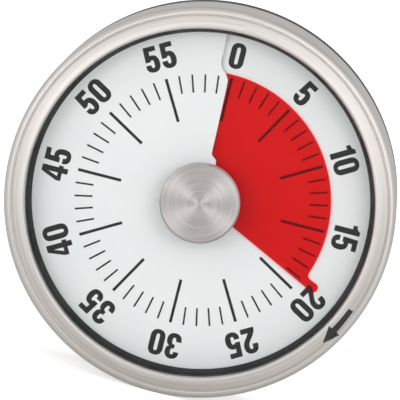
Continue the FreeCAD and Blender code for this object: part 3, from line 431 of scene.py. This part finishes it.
def tinted_film(tones, glow):
    """Tinted cast polypropylene film: strong red on the white dial, with the marks maroon beneath it."""
    material, tree = new_material("tinted_red_polypropylene_film")
    place = put(tree, "ShaderNodeTexCoord").outputs["Object"]
    cloud = grain(tree, place, grains(20.0))
    # The film's satin grain is near 0.05 mm. It is drawn wider, so that it shows
    fine = grain(tree, place, grains(0.2632))
    body = patterned(tree, tones, cloud, fine, (0.36, 0.46), settings={"Specular IOR Level": 0.15})
    # Light crosses the film's two faces on its way in and again on its way out, so a pale glow is a deep red
    through = put(tree, "ShaderNodeBsdfTransparent", {"Color": glow})
    body_share = 0.09
    mixed = put(tree, "ShaderNodeMixShader", {0: body_share, 1: through, 2: body})
    put(tree, "ShaderNodeOutputMaterial", {"Surface": mixed})
    return material


def clear_lens():
    """Clear moulded styrene: it passes light, and mirrors more where it is seen at a slant."""
    material, tree = new_material("clear_moulded_styrene")
    place = put(tree, "ShaderNodeTexCoord").outputs["Object"]
    wave = grain(tree, place, grains(11.11))
    normal = put(tree, "ShaderNodeBump", {"Height": wave, "Distance": 0.004 * MM})
    through = put(tree, "ShaderNodeBsdfTransparent", {"Color": linear("#fdfefe")})
    gloss = put(tree, "ShaderNodeBsdfGlossy", {"Roughness": 0.03, "Normal": normal})
    slant = put(tree, "ShaderNodeLayerWeight", {"Blend": 0.5, "Normal": normal}).outputs["Facing"]
    steep = put(tree, MATH, {0: slant, 1: 5.0}, operation="POWER")
    straight_share, slant_share = 0.009, 0.5
    share = put(tree, MATH, {0: steep, 1: slant_share, 2: straight_share}, operation="MULTIPLY_ADD")
    mixed = put(tree, "ShaderNodeMixShader", {0: share, 1: through, 2: gloss})
    put(tree, "ShaderNodeOutputMaterial", {"Surface": mixed})
    return material


def floor_paint():
    """Pale matt floor, lifted to white where it is seen, and still holding the object's shadow."""
    material, tree = new_material("matt_white_floor_paint")
    place = put(tree, "ShaderNodeTexCoord").outputs["Object"]
    cloud = grain(tree, place, grains(333.3))
    tone = put(tree, "ShaderNodeValToRGB", {"Fac": cloud}, zip(NOISE_ENDS, hex_pair("#efefee", "#f3f3f2")))
    paint = put(tree, "ShaderNodeBsdfPrincipled", {
        "Base Color": tone, "Roughness": 0.8, "Specular IOR Level": 0.2})
    path = put(tree, "ShaderNodeLightPath").outputs
    seen = put(tree, MATH, {0: path["Is Camera Ray"], 1: path["Is Transmission Ray"]}, operation="MAXIMUM")
    white_lift = 0.62
    strength = put(tree, MATH, {0: seen, 1: white_lift}, operation="MULTIPLY")
    lift = put(tree, "ShaderNodeEmission", {"Strength": strength})
    both = put(tree, "ShaderNodeAddShader", {0: paint, 1: lift})
    put(tree, "ShaderNodeOutputMaterial", {"Surface": both})
    return material


def hex_pair(dark, light):
    """Deep and light tone from two hex words."""
    return linear(dark), linear(light)


def finish_materials(colours):
    """Finish of each of the record's slots, and of the two inks."""
    ring, knob = (colours.ring, colours.ring_light), (colours.knob, colours.knob_light)
    case, dial = (colours.case, colours.case_light), (colours.dial, colours.dial_light)
    film, dial_ink = (colours.film, colours.film_light), (colours.dial_ink, colours.dial_ink_light)
    ring_ink = (colours.ring_ink, colours.ring_ink_light)
    return {
        "brushed_steel": turned_steel("spun_stainless_steel", ring, 0.5, 0.238, 0.004, 0.1),
        "turned_steel": turned_steel("turned_stainless_steel", knob, 0.42, 0.125, 0.004, 0.88),
        "black_abs": moulded_plastic("moulded_black_abs", case, 0.55, 0.010, 0.3),
        "white_abs": moulded_plastic("moulded_white_abs", hex_pair("#ececea", "#f2f2f0"), 0.42, 0.006, 0.5),
        "printed_dial": printed_sheet(dial),
        "red_film": tinted_film(film, colours.film_glow),
        "clear_lens": clear_lens(),
        "brass": plain_metal("stamped_brass", hex_pair("#b08a3c", "#d8b566"), 0.30, 0.004),
        "steel": plain_metal("ground_steel", hex_pair("#9a9a9c", "#c9c9cb"), 0.28, 0.003),
        "spring_steel": plain_metal("blued_spring_steel", hex_pair("#3b4252", "#5a6478"), 0.26, 0.003),
        "bell_steel": plain_metal("nickel_plated_steel", hex_pair("#b7b2a8", "#dcd8cf"), 0.18, 0.002),
        "magnet": plain_metal("nickel_plated_magnet", hex_pair("#a9a9a8", "#cfcfce"), 0.24, 0.003),
        "screw_steel": plain_metal("zinc_plated_steel", hex_pair("#a5a8ab", "#ced1d3"), 0.32, 0.004),
        "dial_ink": printed_ink("screen_printed_dial_ink", dial_ink, 0.56, 0.25),
        "ring_ink": printed_ink("screen_printed_ring_ink", ring_ink, 0.34, 0.7),
    }


def finish(word):
    """Material of a slot or of an ink."""
    return bpy.data.materials[MATERIALS[word]]


# Slot of each CAD node that shows as it is, from any side
NODE_SLOTS = {
    "black_abs": ["rear_housing", "bezel_sleeve", "lens_retainer"],
    "white_abs": ["dial_carrier", "knob_core", "drive_hub"],
    "magnet": ["magnets"],
    "screw_steel": ["case_screws", "centre_screw"],
    "brass": ["movement_rear_plate", "movement_front_plate", "main_wheel", "second_wheel", "third_wheel",
              "escape_wheel", "balance_wheel", "hammer_head", "pillar_nuts", "bell_nut"],
    "steel": ["plate_pillars", "bell_post", "main_arbor", "trip_cam", "second_arbor", "second_pinion",
              "third_arbor", "third_pinion", "escape_arbor", "escape_pinion", "balance_arbor", "pallet_lever",
              "hammer_arbor", "hammer_lever", "hammer_tail"],
    "spring_steel": ["mainspring"],
    "bell_steel": ["bell"],
}


class TIMER_OT_case(bpy.types.Operator):
    """Finish the housing, the dial plate, the magnets, the screws and the movement."""
    bl_idname = "timer.case"
    bl_label = "Finish the case"

    def execute(self, context):
        for slot, names in NODE_SLOTS.items():
            for name in names:
                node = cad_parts[name]
                if not node.material_slots:
                    raise RuntimeError(f"{name} has no material slot")
                for place in node.material_slots:
                    place.material = finish(slot)
        return {"FINISHED"}


def ring_face(ring, top, outer, radius):
    """Height of the ring's front at a radius, in millimetres."""
    lip, fall, bead = mm(ring.lip_radius) + mm(ring.lip_round), mm(ring.face_fall), mm(ring.bead)
    crest = outer - bead
    inner = crest - mm(ring.groove)
    if radius < inner:
        share = (radius - lip) / (inner - lip)
        return top - fall * share + mm(ring.crown) * math.sin(math.pi * max(share, 0.0))
    if radius < crest:
        share = (radius - inner) / (crest - inner)
        return top - fall - mm(ring.groove_depth) * math.sin(math.pi * share)
    return top - fall - bead + math.sqrt(max(bead * bead - (radius - crest) ** 2, 0.0))


class TIMER_OT_ring(bpy.types.Operator):
    """Spin the steel ring from its profile."""
    bl_idname = "timer.ring"
    bl_label = "Steel ring"

    def execute(self, context):
        ring = context.scene.timer_ring
        low, top = heights("bezel_ring")
        outer = mm(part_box("bezel_ring")[1].x)
        sheet, lip, lip_round, bead = mm(ring.sheet), mm(ring.lip_radius), mm(ring.lip_round), mm(ring.bead)
        crest, bead_low = outer - bead, top - mm(ring.face_fall) - bead
        groove_inner = crest - mm(ring.groove)
        edge = mm(ring.rear_edge)
        profile = arc(outer - edge, low + edge, edge, -90, 0, 3)
        profile += arc(crest, bead_low, bead, 0, 90, 14)
        front = steps_between(crest, groove_inner, 8)[1:]
        front += steps_between(groove_inner, lip + lip_round, 12)[1:-1]
        profile += [(radius, ring_face(ring, top, outer, radius)) for radius in front]
        profile += arc(lip + lip_round, top - lip_round, lip_round, 90, 180, 8)
        under = top - mm(ring.lip_return)
        profile += [(lip, under), (lip + sheet, under), (lip + sheet, top - sheet - 0.1)]
        profile += [(groove_inner, top - mm(ring.face_fall) - sheet), (outer - sheet, bead_low)]
        profile += [(outer - sheet, low)]
        points, faces, uvs = lathe(profile, ring.segments)
        new_piece("steel_ring", points, faces, finish("brushed_steel"), "head",
                  ("bezel_ring",), uvs, 40.0)
        return {"FINISHED"}


class TIMER_OT_arrow(bpy.types.Operator):
    """Print the arrow that follows the ring's face."""
    bl_idname = "timer.arrow"
    bl_label = "Arrow"

    def execute(self, context):
        ring = context.scene.timer_ring
        top = heights("bezel_ring")[1]
        outer = mm(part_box("bezel_ring")[1].x)
        start, neck, tip = (math.degrees(a) for a in (ring.arrow_start, ring.arrow_neck, ring.arrow_tip))
        shaft_in, shaft_out, flare = mm(ring.arrow_inner), mm(ring.arrow_outer), mm(ring.arrow_flare)
        barbs = mm(ring.barb_inner), mm(ring.barb_outer)
        point = mm(ring.point_inner), mm(ring.point_outer)
        # Each station is a dial angle with the inner and outer edge of the print there
        parts, step = 10, 0.05
        stations = list(zip(steps_between(start, neck, parts),
                            steps_between(shaft_in, shaft_in - flare, parts),
                            steps_between(shaft_out, shaft_out + flare, parts)))
        stations += zip(steps_between(neck + step, tip, parts), steps_between(barbs[0], point[0], parts),
                        steps_between(barbs[1], point[1], parts))
        ink = mm(ring.ink)
        # Most of the print stands above the steel, so that the steel's facets stay under it in the groove
        proud = 0.8
        rows = []
        for share in steps_between(0, 1, 40):
            row = []
            for angle, inner, far in stations:
                radius = inner + (far - inner) * share
                row.append(on_dial(radius, angle, ring_face(ring, top, outer, radius) + ink * proud))
            rows.append(row)
        points, faces = sheet_solid(rows, ink)
        new_piece("ring_arrow", points, faces, finish("ring_ink"), "head")
        return {"FINISHED"}


class TIMER_OT_knob(bpy.types.Operator):
    """Turn the steel cap, with its chamfer and its hollow back."""
    bl_idname = "timer.knob"
    bl_label = "Knob"

    def execute(self, context):
        knob = context.scene.timer_knob
        low, top = heights("knob_cap")
        radius, wall, chamfer = mm(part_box("knob_cap")[1].x), mm(knob.wall), mm(knob.chamfer)
        eased, first_ring, side_start = mm(knob.edge_break), 0.15, top - chamfer - 0.3
        profile = [(0.0, top)]
        profile += [(r, top) for r in steps_between(first_ring, radius - chamfer - 2 * eased, knob.rings)]
        profile += [(radius - chamfer, top - eased), (radius - 1.5 * eased, top - chamfer + eased)]
        profile += [(radius, top - chamfer - 2.5 * eased)]
        profile += [(radius, z) for z in steps_between(side_start, low, 6)]
        profile += [(radius - wall, low), (radius - wall, top - wall), (0.0, top - wall)]
        points, faces, uvs = lathe(profile, knob.segments, closed=False)
        new_piece("steel_knob", points, faces, finish("turned_steel"), "head",
                  ("knob_cap",), uvs, 25.0)
        return {"FINISHED"}


class TIMER_OT_lens(bpy.types.Operator):
    """Turn the clear lens, with a small bevel on both rims."""
    bl_idname = "timer.lens"
    bl_label = "Lens"

    def execute(self, context):
        lens = context.scene.timer_lens
        low, top = heights("lens")
        radius, bore, edge = mm(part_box("lens")[1].x), mm(lens.bore), mm(lens.edge)
        profile = [(bore, low), (radius - edge, low), (radius, low + edge)]
        profile += [(radius, top - edge), (radius - edge, top), (bore, top)]
        points, faces, uvs = lathe(profile, lens.segments)
        new_piece("clear_lens", points, faces, finish("clear_lens"), "head",
                  ("lens",), uvs)
        return {"FINISHED"}


# End of the dial's upper sheet beside the slit: radius in millimetres, and degrees past the zero mark
SLIT_EDGE = [(7.0, 8.0), (8.15, 7.8), (8.7, 6.8), (8.95, 5.6), (9.2, 3.2), (9.45, 0.9), (9.75, -0.7),
             (10.1, -1.2), (25.0, -1.4), (25.5, -1.7), (26.0, -2.3), (26.5, -3.1), (27.0, -4.1), (27.5, -4.95),
             (28.0, -5.5), (28.5, -5.7), (34.8, -5.1), (36.2, -5.0)]


class TIMER_OT_dial(bpy.types.Operator):
    """Lay the spiral dial sheet, whose upper end steps back beside the slit."""
    bl_idname = "timer.dial"
    bl_label = "Dial"

    def execute(self, context):
        dial = context.scene.timer_dial
        thick, pitch, start = mm(dial.thickness), mm(dial.pitch), math.degrees(dial.start)
        low = heights("dial_sheet")[0]
        outer = mm(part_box("dial_sheet")[1].x)
        # Rows lie close where the edge of the slit bends, by the hub and by the film's rim
        radii = [r for r, _ in SLIT_EDGE] + steps_between(11.0, 24.0, 7) + steps_between(25.1, 28.4, 22)
        radii += steps_between(8.2, 9.9, 16) + [30.0, 32.0, outer]
        full = 350.0
        shared = steps_between(start, full, 180)
        rows = []
        for radius in sorted({round(min(r, outer), 4) for r in radii}):
            end = 360.0 + blend_through(SLIT_EDGE, radius)
            angles = shared + steps_between(full, end, 10)[1:]
            rows.append([on_dial(radius, a, low + thick + pitch * (a - start) / 360) for a in angles])
        points, faces = sheet_solid(rows, thick)
        new_piece("dial_spiral", points, faces, finish("printed_dial"), "base",
                  ("dial_sheet",))
        return {"FINISHED"}


def dial_face(dial):
    """Height of the dial sheet's face at the zero mark, and its rise in one degree, in millimetres."""
    rise = mm(dial.pitch) / 360
    return heights("dial_sheet")[0] + mm(dial.thickness) - math.degrees(dial.start) * rise, rise


def mark_group():
    """Node group that sets marks round the dial, each a little higher than the one before."""
    group = bpy.data.node_groups.new("dial_marks", "GeometryNodeTree")
    kinds = {"Int": ("Count", "Every", "From"), "Material": ("Material",),
             "Float": ("Radius", "Length", "Width", "Thickness", "Height", "Rise")}
    for kind, names in kinds.items():
        for name in names:
            group.interface.new_socket(name, in_out="INPUT", socket_type="NodeSocket" + kind)
    group.interface.new_socket("Geometry", in_out="OUTPUT", socket_type="NodeSocketGeometry")
    given = put(group, "NodeGroupInput").outputs
    index = put(group, "GeometryNodeInputIndex")
    share = put(group, MATH, {0: index, 1: given["Count"]}, operation="DIVIDE")
    angle = put(group, MATH, {0: share, 1: 2 * math.pi}, operation="MULTIPLY")
    sine = put(group, MATH, {0: angle}, operation="SINE")
    cosine = put(group, MATH, {0: angle}, operation="COSINE")
    right = put(group, MATH, {0: sine, 1: given["Radius"]}, operation="MULTIPLY")
    up = put(group, MATH, {0: cosine, 1: given["Radius"]}, operation="MULTIPLY")
    height = put(group, MATH, {0: share, 1: given["Rise"], 2: given["Height"]}, operation="MULTIPLY_ADD")
    back = put(group, MATH, {0: height, 1: -1.0}, operation="MULTIPLY")
    places = put(group, "ShaderNodeCombineXYZ", {0: right, 1: back, 2: up})
    points = put(group, "GeometryNodePoints", {"Count": given["Count"], "Position": places})
    extent = put(group, "ShaderNodeCombineXYZ", {
        0: given["Width"], 1: given["Thickness"], 2: given["Length"]})
    bar = put(group, "GeometryNodeMeshCube", {"Size": extent})
    turned = put(group, "ShaderNodeCombineXYZ", {1: angle})
    spin = put(group, "FunctionNodeEulerToRotation", {0: turned})
    left_out = put(group, MATH, {0: given["From"], 1: 0.5}, operation="SUBTRACT")
    turn_place = put(group, MATH, {0: index, 1: given["Every"]}, operation="MODULO")
    kept = put(group, MATH, {0: turn_place, 1: left_out}, operation="GREATER_THAN")
    bars = put(group, "GeometryNodeInstanceOnPoints", {
        "Points": points, "Selection": kept, "Instance": bar, "Rotation": spin})
    real = put(group, "GeometryNodeRealizeInstances", {0: bars})
    finished = put(group, "GeometryNodeSetMaterial", {"Geometry": real, "Material": given["Material"]})
    put(group, "NodeGroupOutput", {0: finished})
    return group


def dress(name, group, values, body):
    """Piece made by a node group from named values, converted to a plain mesh."""
    sockets = {item.name: item.identifier for item in group.interface.items_tree if item.in_out == "INPUT"}
    holder = bpy.data.objects.new(name, bpy.data.meshes.new(name))
    bpy.context.scene.collection.objects.link(holder)
    modifier = holder.modifiers.new("marks", "NODES")
    modifier.node_group = group
    for word, value in values.items():
        modifier[sockets[word]] = value
    holder.update_tag()
    graph = bpy.context.evaluated_depsgraph_get()
    made = bpy.data.meshes.new_from_object(holder.evaluated_get(graph), depsgraph=graph)
    holder.modifiers.clear()
    holder.data = made
    if not made.vertices:
        raise RuntimeError(f"{name} came out empty")
    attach(holder, body)


class TIMER_OT_ticks(bpy.types.Operator):
    """Print the minute ticks and the longer ticks at every fifth minute."""
    bl_idname = "timer.ticks"
    bl_label = "Ticks"

    def execute(self, context):
        dial = context.scene.timer_dial
        group = mark_group()
        ink = finish("dial_ink")
        for name, count, every, first, inner, width in (
                ("minute_ticks", 60, 5, 1, dial.minor_inner, dial.minor_width),
                ("five_minute_ticks", 12, 1, 0, dial.major_inner, dial.major_width)):
            dress(name, group, {
                "Count": count, "Every": every, "From": first, "Radius": (inner + dial.tick_outer) / 2,
                "Length": dial.tick_outer - inner, "Width": width, "Thickness": dial.ink * 2,
                "Height": dial_face(dial)[0] * MM, "Rise": dial.pitch, "Material": ink,
            }, "base")
        return {"FINISHED"}


# Digits in a box 2.9 wide and 5.1 high, in millimetres. A contour is a list of corners (x, y) and of arcs
# (middle x, middle y, half width, half height, first degrees, last degrees)
GLYPHS = {
    "0": [[(1.45, 3.6, 1.45, 1.5, 180, 0), (1.45, 1.5, 1.45, 1.5, 0, -180)],
          [(1.45, 3.75, 0.35, 0.5, 0, 180), (1.45, 1.35, 0.35, 0.5, 180, 360)]],
    "1": [[(0.8, 0.0), (1.95, 0.0), (1.95, 5.1), (1.12, 5.1), (1.02, 4.8), (0.8, 4.55), (0.4, 4.42),
           (0.05, 4.4), (0.05, 3.55), (0.8, 3.55)]],
    "2": [[(0.1, 0.0), (2.8, 0.0), (2.8, 1.0), (1.45, 1.0), (1.8, 1.6), (2.3, 2.2),
           (1.42, 3.62, 1.4, 1.48, -32, 180), (0.02, 3.25), (1.1, 3.25), (1.42, 3.72, 0.33, 0.5, 180, 0),
           (1.75, 3.4), (1.56, 2.85), (0.6, 1.6), (0.25, 1.0), (0.1, 0.5)]],
    "3": [[(0.05, 3.65), (1.42, 3.72, 1.36, 1.38, 178, -42), (2.18, 2.66), (1.42, 1.42, 1.42, 1.42, 48, -180),
           (0.0, 1.62), (1.08, 1.62), (1.42, 1.36, 0.34, 0.46, 180, 360), (1.76, 1.6), (1.72, 2.05),
           (1.5, 2.2), (1.12, 2.24), (1.12, 3.02), (1.5, 3.06), (1.68, 3.2), (1.76, 3.5),
           (1.42, 3.8, 0.32, 0.44, 0, 180), (1.1, 3.65)]],
    "4": [[(1.55, 0.0), (2.6, 0.0), (2.6, 1.0), (3.0, 1.0), (3.0, 1.9), (2.6, 1.9), (2.6, 5.1), (1.32, 5.1),
           (0.0, 1.98), (0.0, 1.05), (1.55, 1.05)],
          [(1.55, 1.88), (0.82, 1.88), (1.55, 3.75)]],
    "5": [[(0.3, 5.1), (2.65, 5.1), (2.65, 4.12), (1.28, 4.12), (1.2, 3.22), (1.5, 1.68, 1.37, 1.68, 104, -90),
           (1.4, 1.4, 1.38, 1.4, -90, -180), (0.02, 1.55), (1.1, 1.55), (1.42, 1.32, 0.33, 0.43, 180, 360),
           (1.75, 1.95), (1.42, 1.98, 0.33, 0.44, 0, 180), (1.07, 2.12), (0.12, 2.12)]],
}
# Width of each digit with the gap after it
ADVANCES = {"0": 3.3, "1": 2.45, "2": 3.25, "3": 3.25, "4": 3.35, "5": 3.3}
GLYPH_GAP = 0.4
GLYPH_HEIGHT = 5.1
GLYPH_SCALE = 1.05
# Under 1 the ends of the arcs are squarer than a true ellipse
ARC_POWER = 0.88


def trace(contour):
    """Corners of a glyph's contour, with its arcs divided."""
    corners = []
    for item in contour:
        if len(item) == 2:
            corners.append(item)
            continue
        x, y, wide, high, first, last = item
        for angle in steps_between(first, last, max(4, round(abs(last - first) / 12))):
            c, s = math.cos(math.radians(angle)), math.sin(math.radians(angle))
            corners.append((x + wide * math.copysign(abs(c) ** ARC_POWER, c),
                            y + high * math.copysign(abs(s) ** ARC_POWER, s)))
    return [c for n, c in enumerate(corners) if math.dist(c, corners[n - 1]) > 1e-3]


def glyph_solid(contours, ink):
    """Corners (x, y, depth) and faces of one printed digit."""
    shape = bmesh.new()
    for contour in contours:
        made = [shape.verts.new((x, y, 0.0)) for x, y in trace(contour)]
        for a, b in zip(made, made[1:] + made[:1]):
            shape.edges.new((a, b))
    bmesh.ops.triangle_fill(shape, use_beauty=True, use_dissolve=False, edges=shape.edges[:])
    raised = bmesh.ops.extrude_face_region(shape, geom=shape.faces[:])
    for item in raised["geom"]:
        if isinstance(item, bmesh.types.BMVert):
            item.co.z += ink
    bmesh.ops.recalc_face_normals(shape, faces=shape.faces[:])
    shape.verts.index_update()
    corners = [tuple(v.co) for v in shape.verts]
    faces = [[v.index for v in f.verts] for f in shape.faces]
    shape.free()
    return corners, faces


class TIMER_OT_numbers(bpy.types.Operator):
    """Print a number at every fifth minute, its top away from the middle."""
    bl_idname = "timer.numbers"
    bl_label = "Numbers"

    def execute(self, context):
        dial = context.scene.timer_dial
        ink, middle = mm(dial.ink), mm(dial.number_radius)
        zero, rise = dial_face(dial)
        glyphs = {digit: glyph_solid(contours, 2 * ink) for digit, contours in GLYPHS.items()}
        points, faces = [], []
        for minutes in range(0, 60, 5):
            angle, word = 6.0 * minutes, str(minutes)
            spin = math.radians(angle)
            x = -(sum(ADVANCES[digit] for digit in word) - GLYPH_GAP) / 2
            for digit in word:
                corners, shape = glyphs[digit]
                faces += [[index + len(points) for index in corner] for corner in shape]
                for across, up, depth in corners:
                    u, v = (x + across) * GLYPH_SCALE, middle + (up - GLYPH_HEIGHT / 2) * GLYPH_SCALE
                    right = v * math.sin(spin) + u * math.cos(spin)
                    top = v * math.cos(spin) - u * math.sin(spin)
                    there = angle + math.degrees(math.atan2(u, v))
                    points.append(face(right, top, zero + rise * there + depth - ink))
                x += ADVANCES[digit]
        new_piece("dial_numbers", points, faces, finish("dial_ink"), "base")
        return {"FINISHED"}


class TIMER_OT_film(bpy.types.Operator):
    """Lay the red film through the slit, with the pointer at its leading edge."""
    bl_idname = "timer.film"
    bl_label = "Film"

    def execute(self, context):
        film, dial = context.scene.timer_film, context.scene.timer_dial
        low = heights("red_film")[0]
        thick, pitch, bore, radius = mm(film.thickness), mm(dial.pitch), mm(film.bore), mm(film.radius)
        lead, back, rim = math.degrees(film.lead), math.degrees(film.pointer_back), mm(film.rim)
        first = lead + math.degrees(film.open_angle)
        tip, fillet = mm(film.pointer_tip), mm(film.pointer_fillet)
        middle = (lead + back) / 2
        half = math.radians(lead - back) / 2 * tip
        fillet_angle = math.degrees(fillet / radius)

        def outer(angle):
            """Outer radius of the film on its last turn, over the pointer."""
            before = back - angle
            if before >= fillet_angle:
                return radius
            if before > 0:
                share = 1 - before / fillet_angle
                return radius + fillet * (1 - math.sqrt(1 - share * share))
            side = math.radians(angle - middle) * tip
            return tip - half + math.sqrt(max(half * half - side * side, 0.0))

        # Even steps go round to the fillet, and short ones over the fillet and the pointer
        fillet_start, plain_end, inner_share = 468.0, 460.0, 0.6
        angles = steps_between(first, fillet_start, 176)
        angles += steps_between(fillet_start + 0.25, 360 + back - 0.001, 30)
        angles += steps_between(360 + back + 0.02, 360 + lead, 28)
        rows = []
        for share in steps_between(0, 1, 22):
            row = []
            for angle in angles:
                limit = outer(angle - 360) if angle > plain_end else radius
                flat = bore + (radius - rim - bore) * min(share / inner_share, 1.0)
                reach = flat + (limit - radius + rim) * max(share - inner_share, 0.0) / (1 - inner_share)
                row.append(on_dial(reach, angle, low + thick + pitch * (angle - first) / 360))
            rows.append(row)
        points, faces = sheet_solid(rows, thick)
        new_piece("film_spiral", points, faces, finish("red_film"), "film",
                  ("red_film",))
        return {"FINISHED"}


def stage_axes(stage):
    """Picture's right and up, and the way from the object to the camera."""
    right = Vector((math.cos(stage.roll), 0, math.sin(stage.roll)))
    up = Vector((-math.sin(stage.roll), 0, math.cos(stage.roll)))
    return right, up, Vector((stage.aside, -stage.distance, stage.above)).normalized()


# Name, degrees from the picture's up, degrees off the mirror way, width in metres and strength of each lamp
LAMPS = (("lamp_upper_left", -60, 31, 0.5, 2.3), ("lamp_upper_right", 58, 31, 0.5, 1.9),
         ("lamp_lower_right", 152, 24, 0.6, 2.4))
# Brightness of the studio from its sides (0) to the way that the camera looks from (1)
STUDIO_LEVELS = ((0.0, 0.62), (0.45, 0.80), (0.72, 1.04), (0.88, 1.06), (0.96, 0.95), (1.0, 0.90))
STUDIO_TONE = (1.0, 0.992, 0.985)


def soft_studio(towards):
    """World that lights softly from the front, and is plain white where it is seen."""
    world = bpy.data.worlds.new("soft_studio")
    world.use_nodes = True
    tree = world.node_tree
    tree.nodes.clear()
    way = put(tree, "ShaderNodeTexCoord").outputs["Generated"]
    facing = put(tree, "ShaderNodeVectorMath", {0: way, 1: towards}, operation="DOT_PRODUCT").outputs["Value"]
    stops = [(place, (*(level * part for part in STUDIO_TONE), 1.0)) for place, level in STUDIO_LEVELS]
    ramp = put(tree, "ShaderNodeValToRGB", {"Fac": facing}, stops)
    path = put(tree, "ShaderNodeLightPath").outputs
    seen = put(tree, MATH, {0: path["Is Camera Ray"], 1: path["Is Transmission Ray"]}, operation="MAXIMUM")
    soft = put(tree, "ShaderNodeBackground", {"Color": ramp, "Strength": 1.0})
    white = put(tree, "ShaderNodeBackground", {"Color": (1, 1, 1, 1), "Strength": 1.0})
    mixed = put(tree, "ShaderNodeMixShader", {0: seen, 1: soft, 2: white})
    put(tree, "ShaderNodeOutputWorld", {"Surface": mixed})
    return world


class TIMER_OT_stage(bpy.types.Operator):
    """Set the camera, the soft lamps, the world and the floor."""
    bl_idname = "timer.stage"
    bl_label = "Stage"

    def execute(self, context):
        scene, stage = context.scene, context.scene.timer_stage
        right, up, towards = stage_axes(stage)
        centre = Vector((0, -stage.front, 0))
        place = centre + Vector((stage.aside, -stage.distance, stage.above))
        lens = bpy.data.cameras.new("camera")
        lens.lens, lens.sensor_width = stage.focal, 36.0
        lens.clip_start, lens.clip_end = 0.05, 50.0
        camera = bpy.data.objects.new("camera", lens)
        ahead = (centre + up * stage.aim - place).normalized()
        side = ahead.cross(up).normalized()
        camera.matrix_world = Matrix.Translation(place) @ Matrix(
            (side, side.cross(ahead), -ahead)).transposed().to_4x4()
        scene.collection.objects.link(camera)
        scene.camera = camera
        # The mirror way is where a flat front sends the camera's view, and the lamps stand round it
        mirror = Vector((-towards.x, towards.y, -towards.z))
        for name, azimuth, off, size, strength in LAMPS:
            spin, slant = math.radians(azimuth), math.radians(off)
            lamp = bpy.data.lights.new(name, "AREA")
            lamp.shape, lamp.size = "DISK", size
            lamp.energy = stage.lamp_power * strength
            holder = bpy.data.objects.new(name, lamp)
            aside = right * math.sin(spin) + up * math.cos(spin)
            way = (mirror * math.cos(slant) + aside * math.sin(slant)).normalized()
            holder.location = centre + way * stage.lamp_distance
            holder.rotation_euler = way.to_track_quat("Z", "Y").to_euler()
            scene.collection.objects.link(holder)
        floor_low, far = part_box("rear_housing")[0].z, stage.floor_reach
        corners = [Vector((x * far, y * far, floor_low)) for x, y in ((-1, -1), (1, -1), (1, 1), (-1, 1))]
        floor = bpy.data.meshes.new("floor")
        floor.from_pydata(corners, [], [(0, 1, 2, 3)])
        floor.materials.append(floor_paint())
        ground = bpy.data.objects.new("floor", floor)
        scene.collection.objects.link(ground)
        scene.world = soft_studio(towards)
        scene.view_settings.view_transform = "Standard"
        return {"FINISHED"}


class TIMER_PT_panel(bpy.types.Panel):
    """Buttons for the timer's pieces, with their sizes and colours."""
    bl_idname = "TIMER_PT_panel"
    bl_label = "Timer"
    bl_space_type = "VIEW_3D"
    bl_region_type = "UI"
    bl_category = "Timer"

    def draw(self, context):
        for operator in OPERATORS:
            self.layout.operator(operator.bl_idname)
        for word in GROUPS:
            box = self.layout.box()
            settings = getattr(context.scene, word)
            for name in settings.__annotations__:
                box.prop(settings, name)


# Name of the material that stands for each slot and ink, filled in by main
MATERIALS = {}
GROUPS = {"timer_ring": TimerRing, "timer_knob": TimerKnob, "timer_lens": TimerLens, "timer_dial": TimerDial,
          "timer_film": TimerFilm, "timer_stage": TimerStage, "timer_colours": TimerColours}
OPERATORS = [TIMER_OT_case, TIMER_OT_ring, TIMER_OT_arrow, TIMER_OT_knob, TIMER_OT_lens, TIMER_OT_dial,
             TIMER_OT_ticks, TIMER_OT_numbers, TIMER_OT_film, TIMER_OT_stage]


def register():
    for item in [*GROUPS.values(), *OPERATORS, TIMER_PT_panel]:
        bpy.utils.register_class(item)
    for word, group in GROUPS.items():
        setattr(bpy.types.Scene, word, PointerProperty(type=group))


def unregister():
    for word in GROUPS:
        delattr(bpy.types.Scene, word)
    for item in reversed([*GROUPS.values(), *OPERATORS, TIMER_PT_panel]):
        bpy.utils.unregister_class(item)


def main():
    """Make every piece and the stage."""
    register()
    made = finish_materials(bpy.context.scene.timer_colours)
    MATERIALS.update({word: material.name for word, material in made.items()})
    for operator in OPERATORS:
        group, word = operator.bl_idname.split(".")
        result = getattr(getattr(bpy.ops, group), word)()
        if result != {"FINISHED"}:
            raise RuntimeError(f"{operator.bl_idname} ended with {result}")


if __name__ == "__main__":
    main()
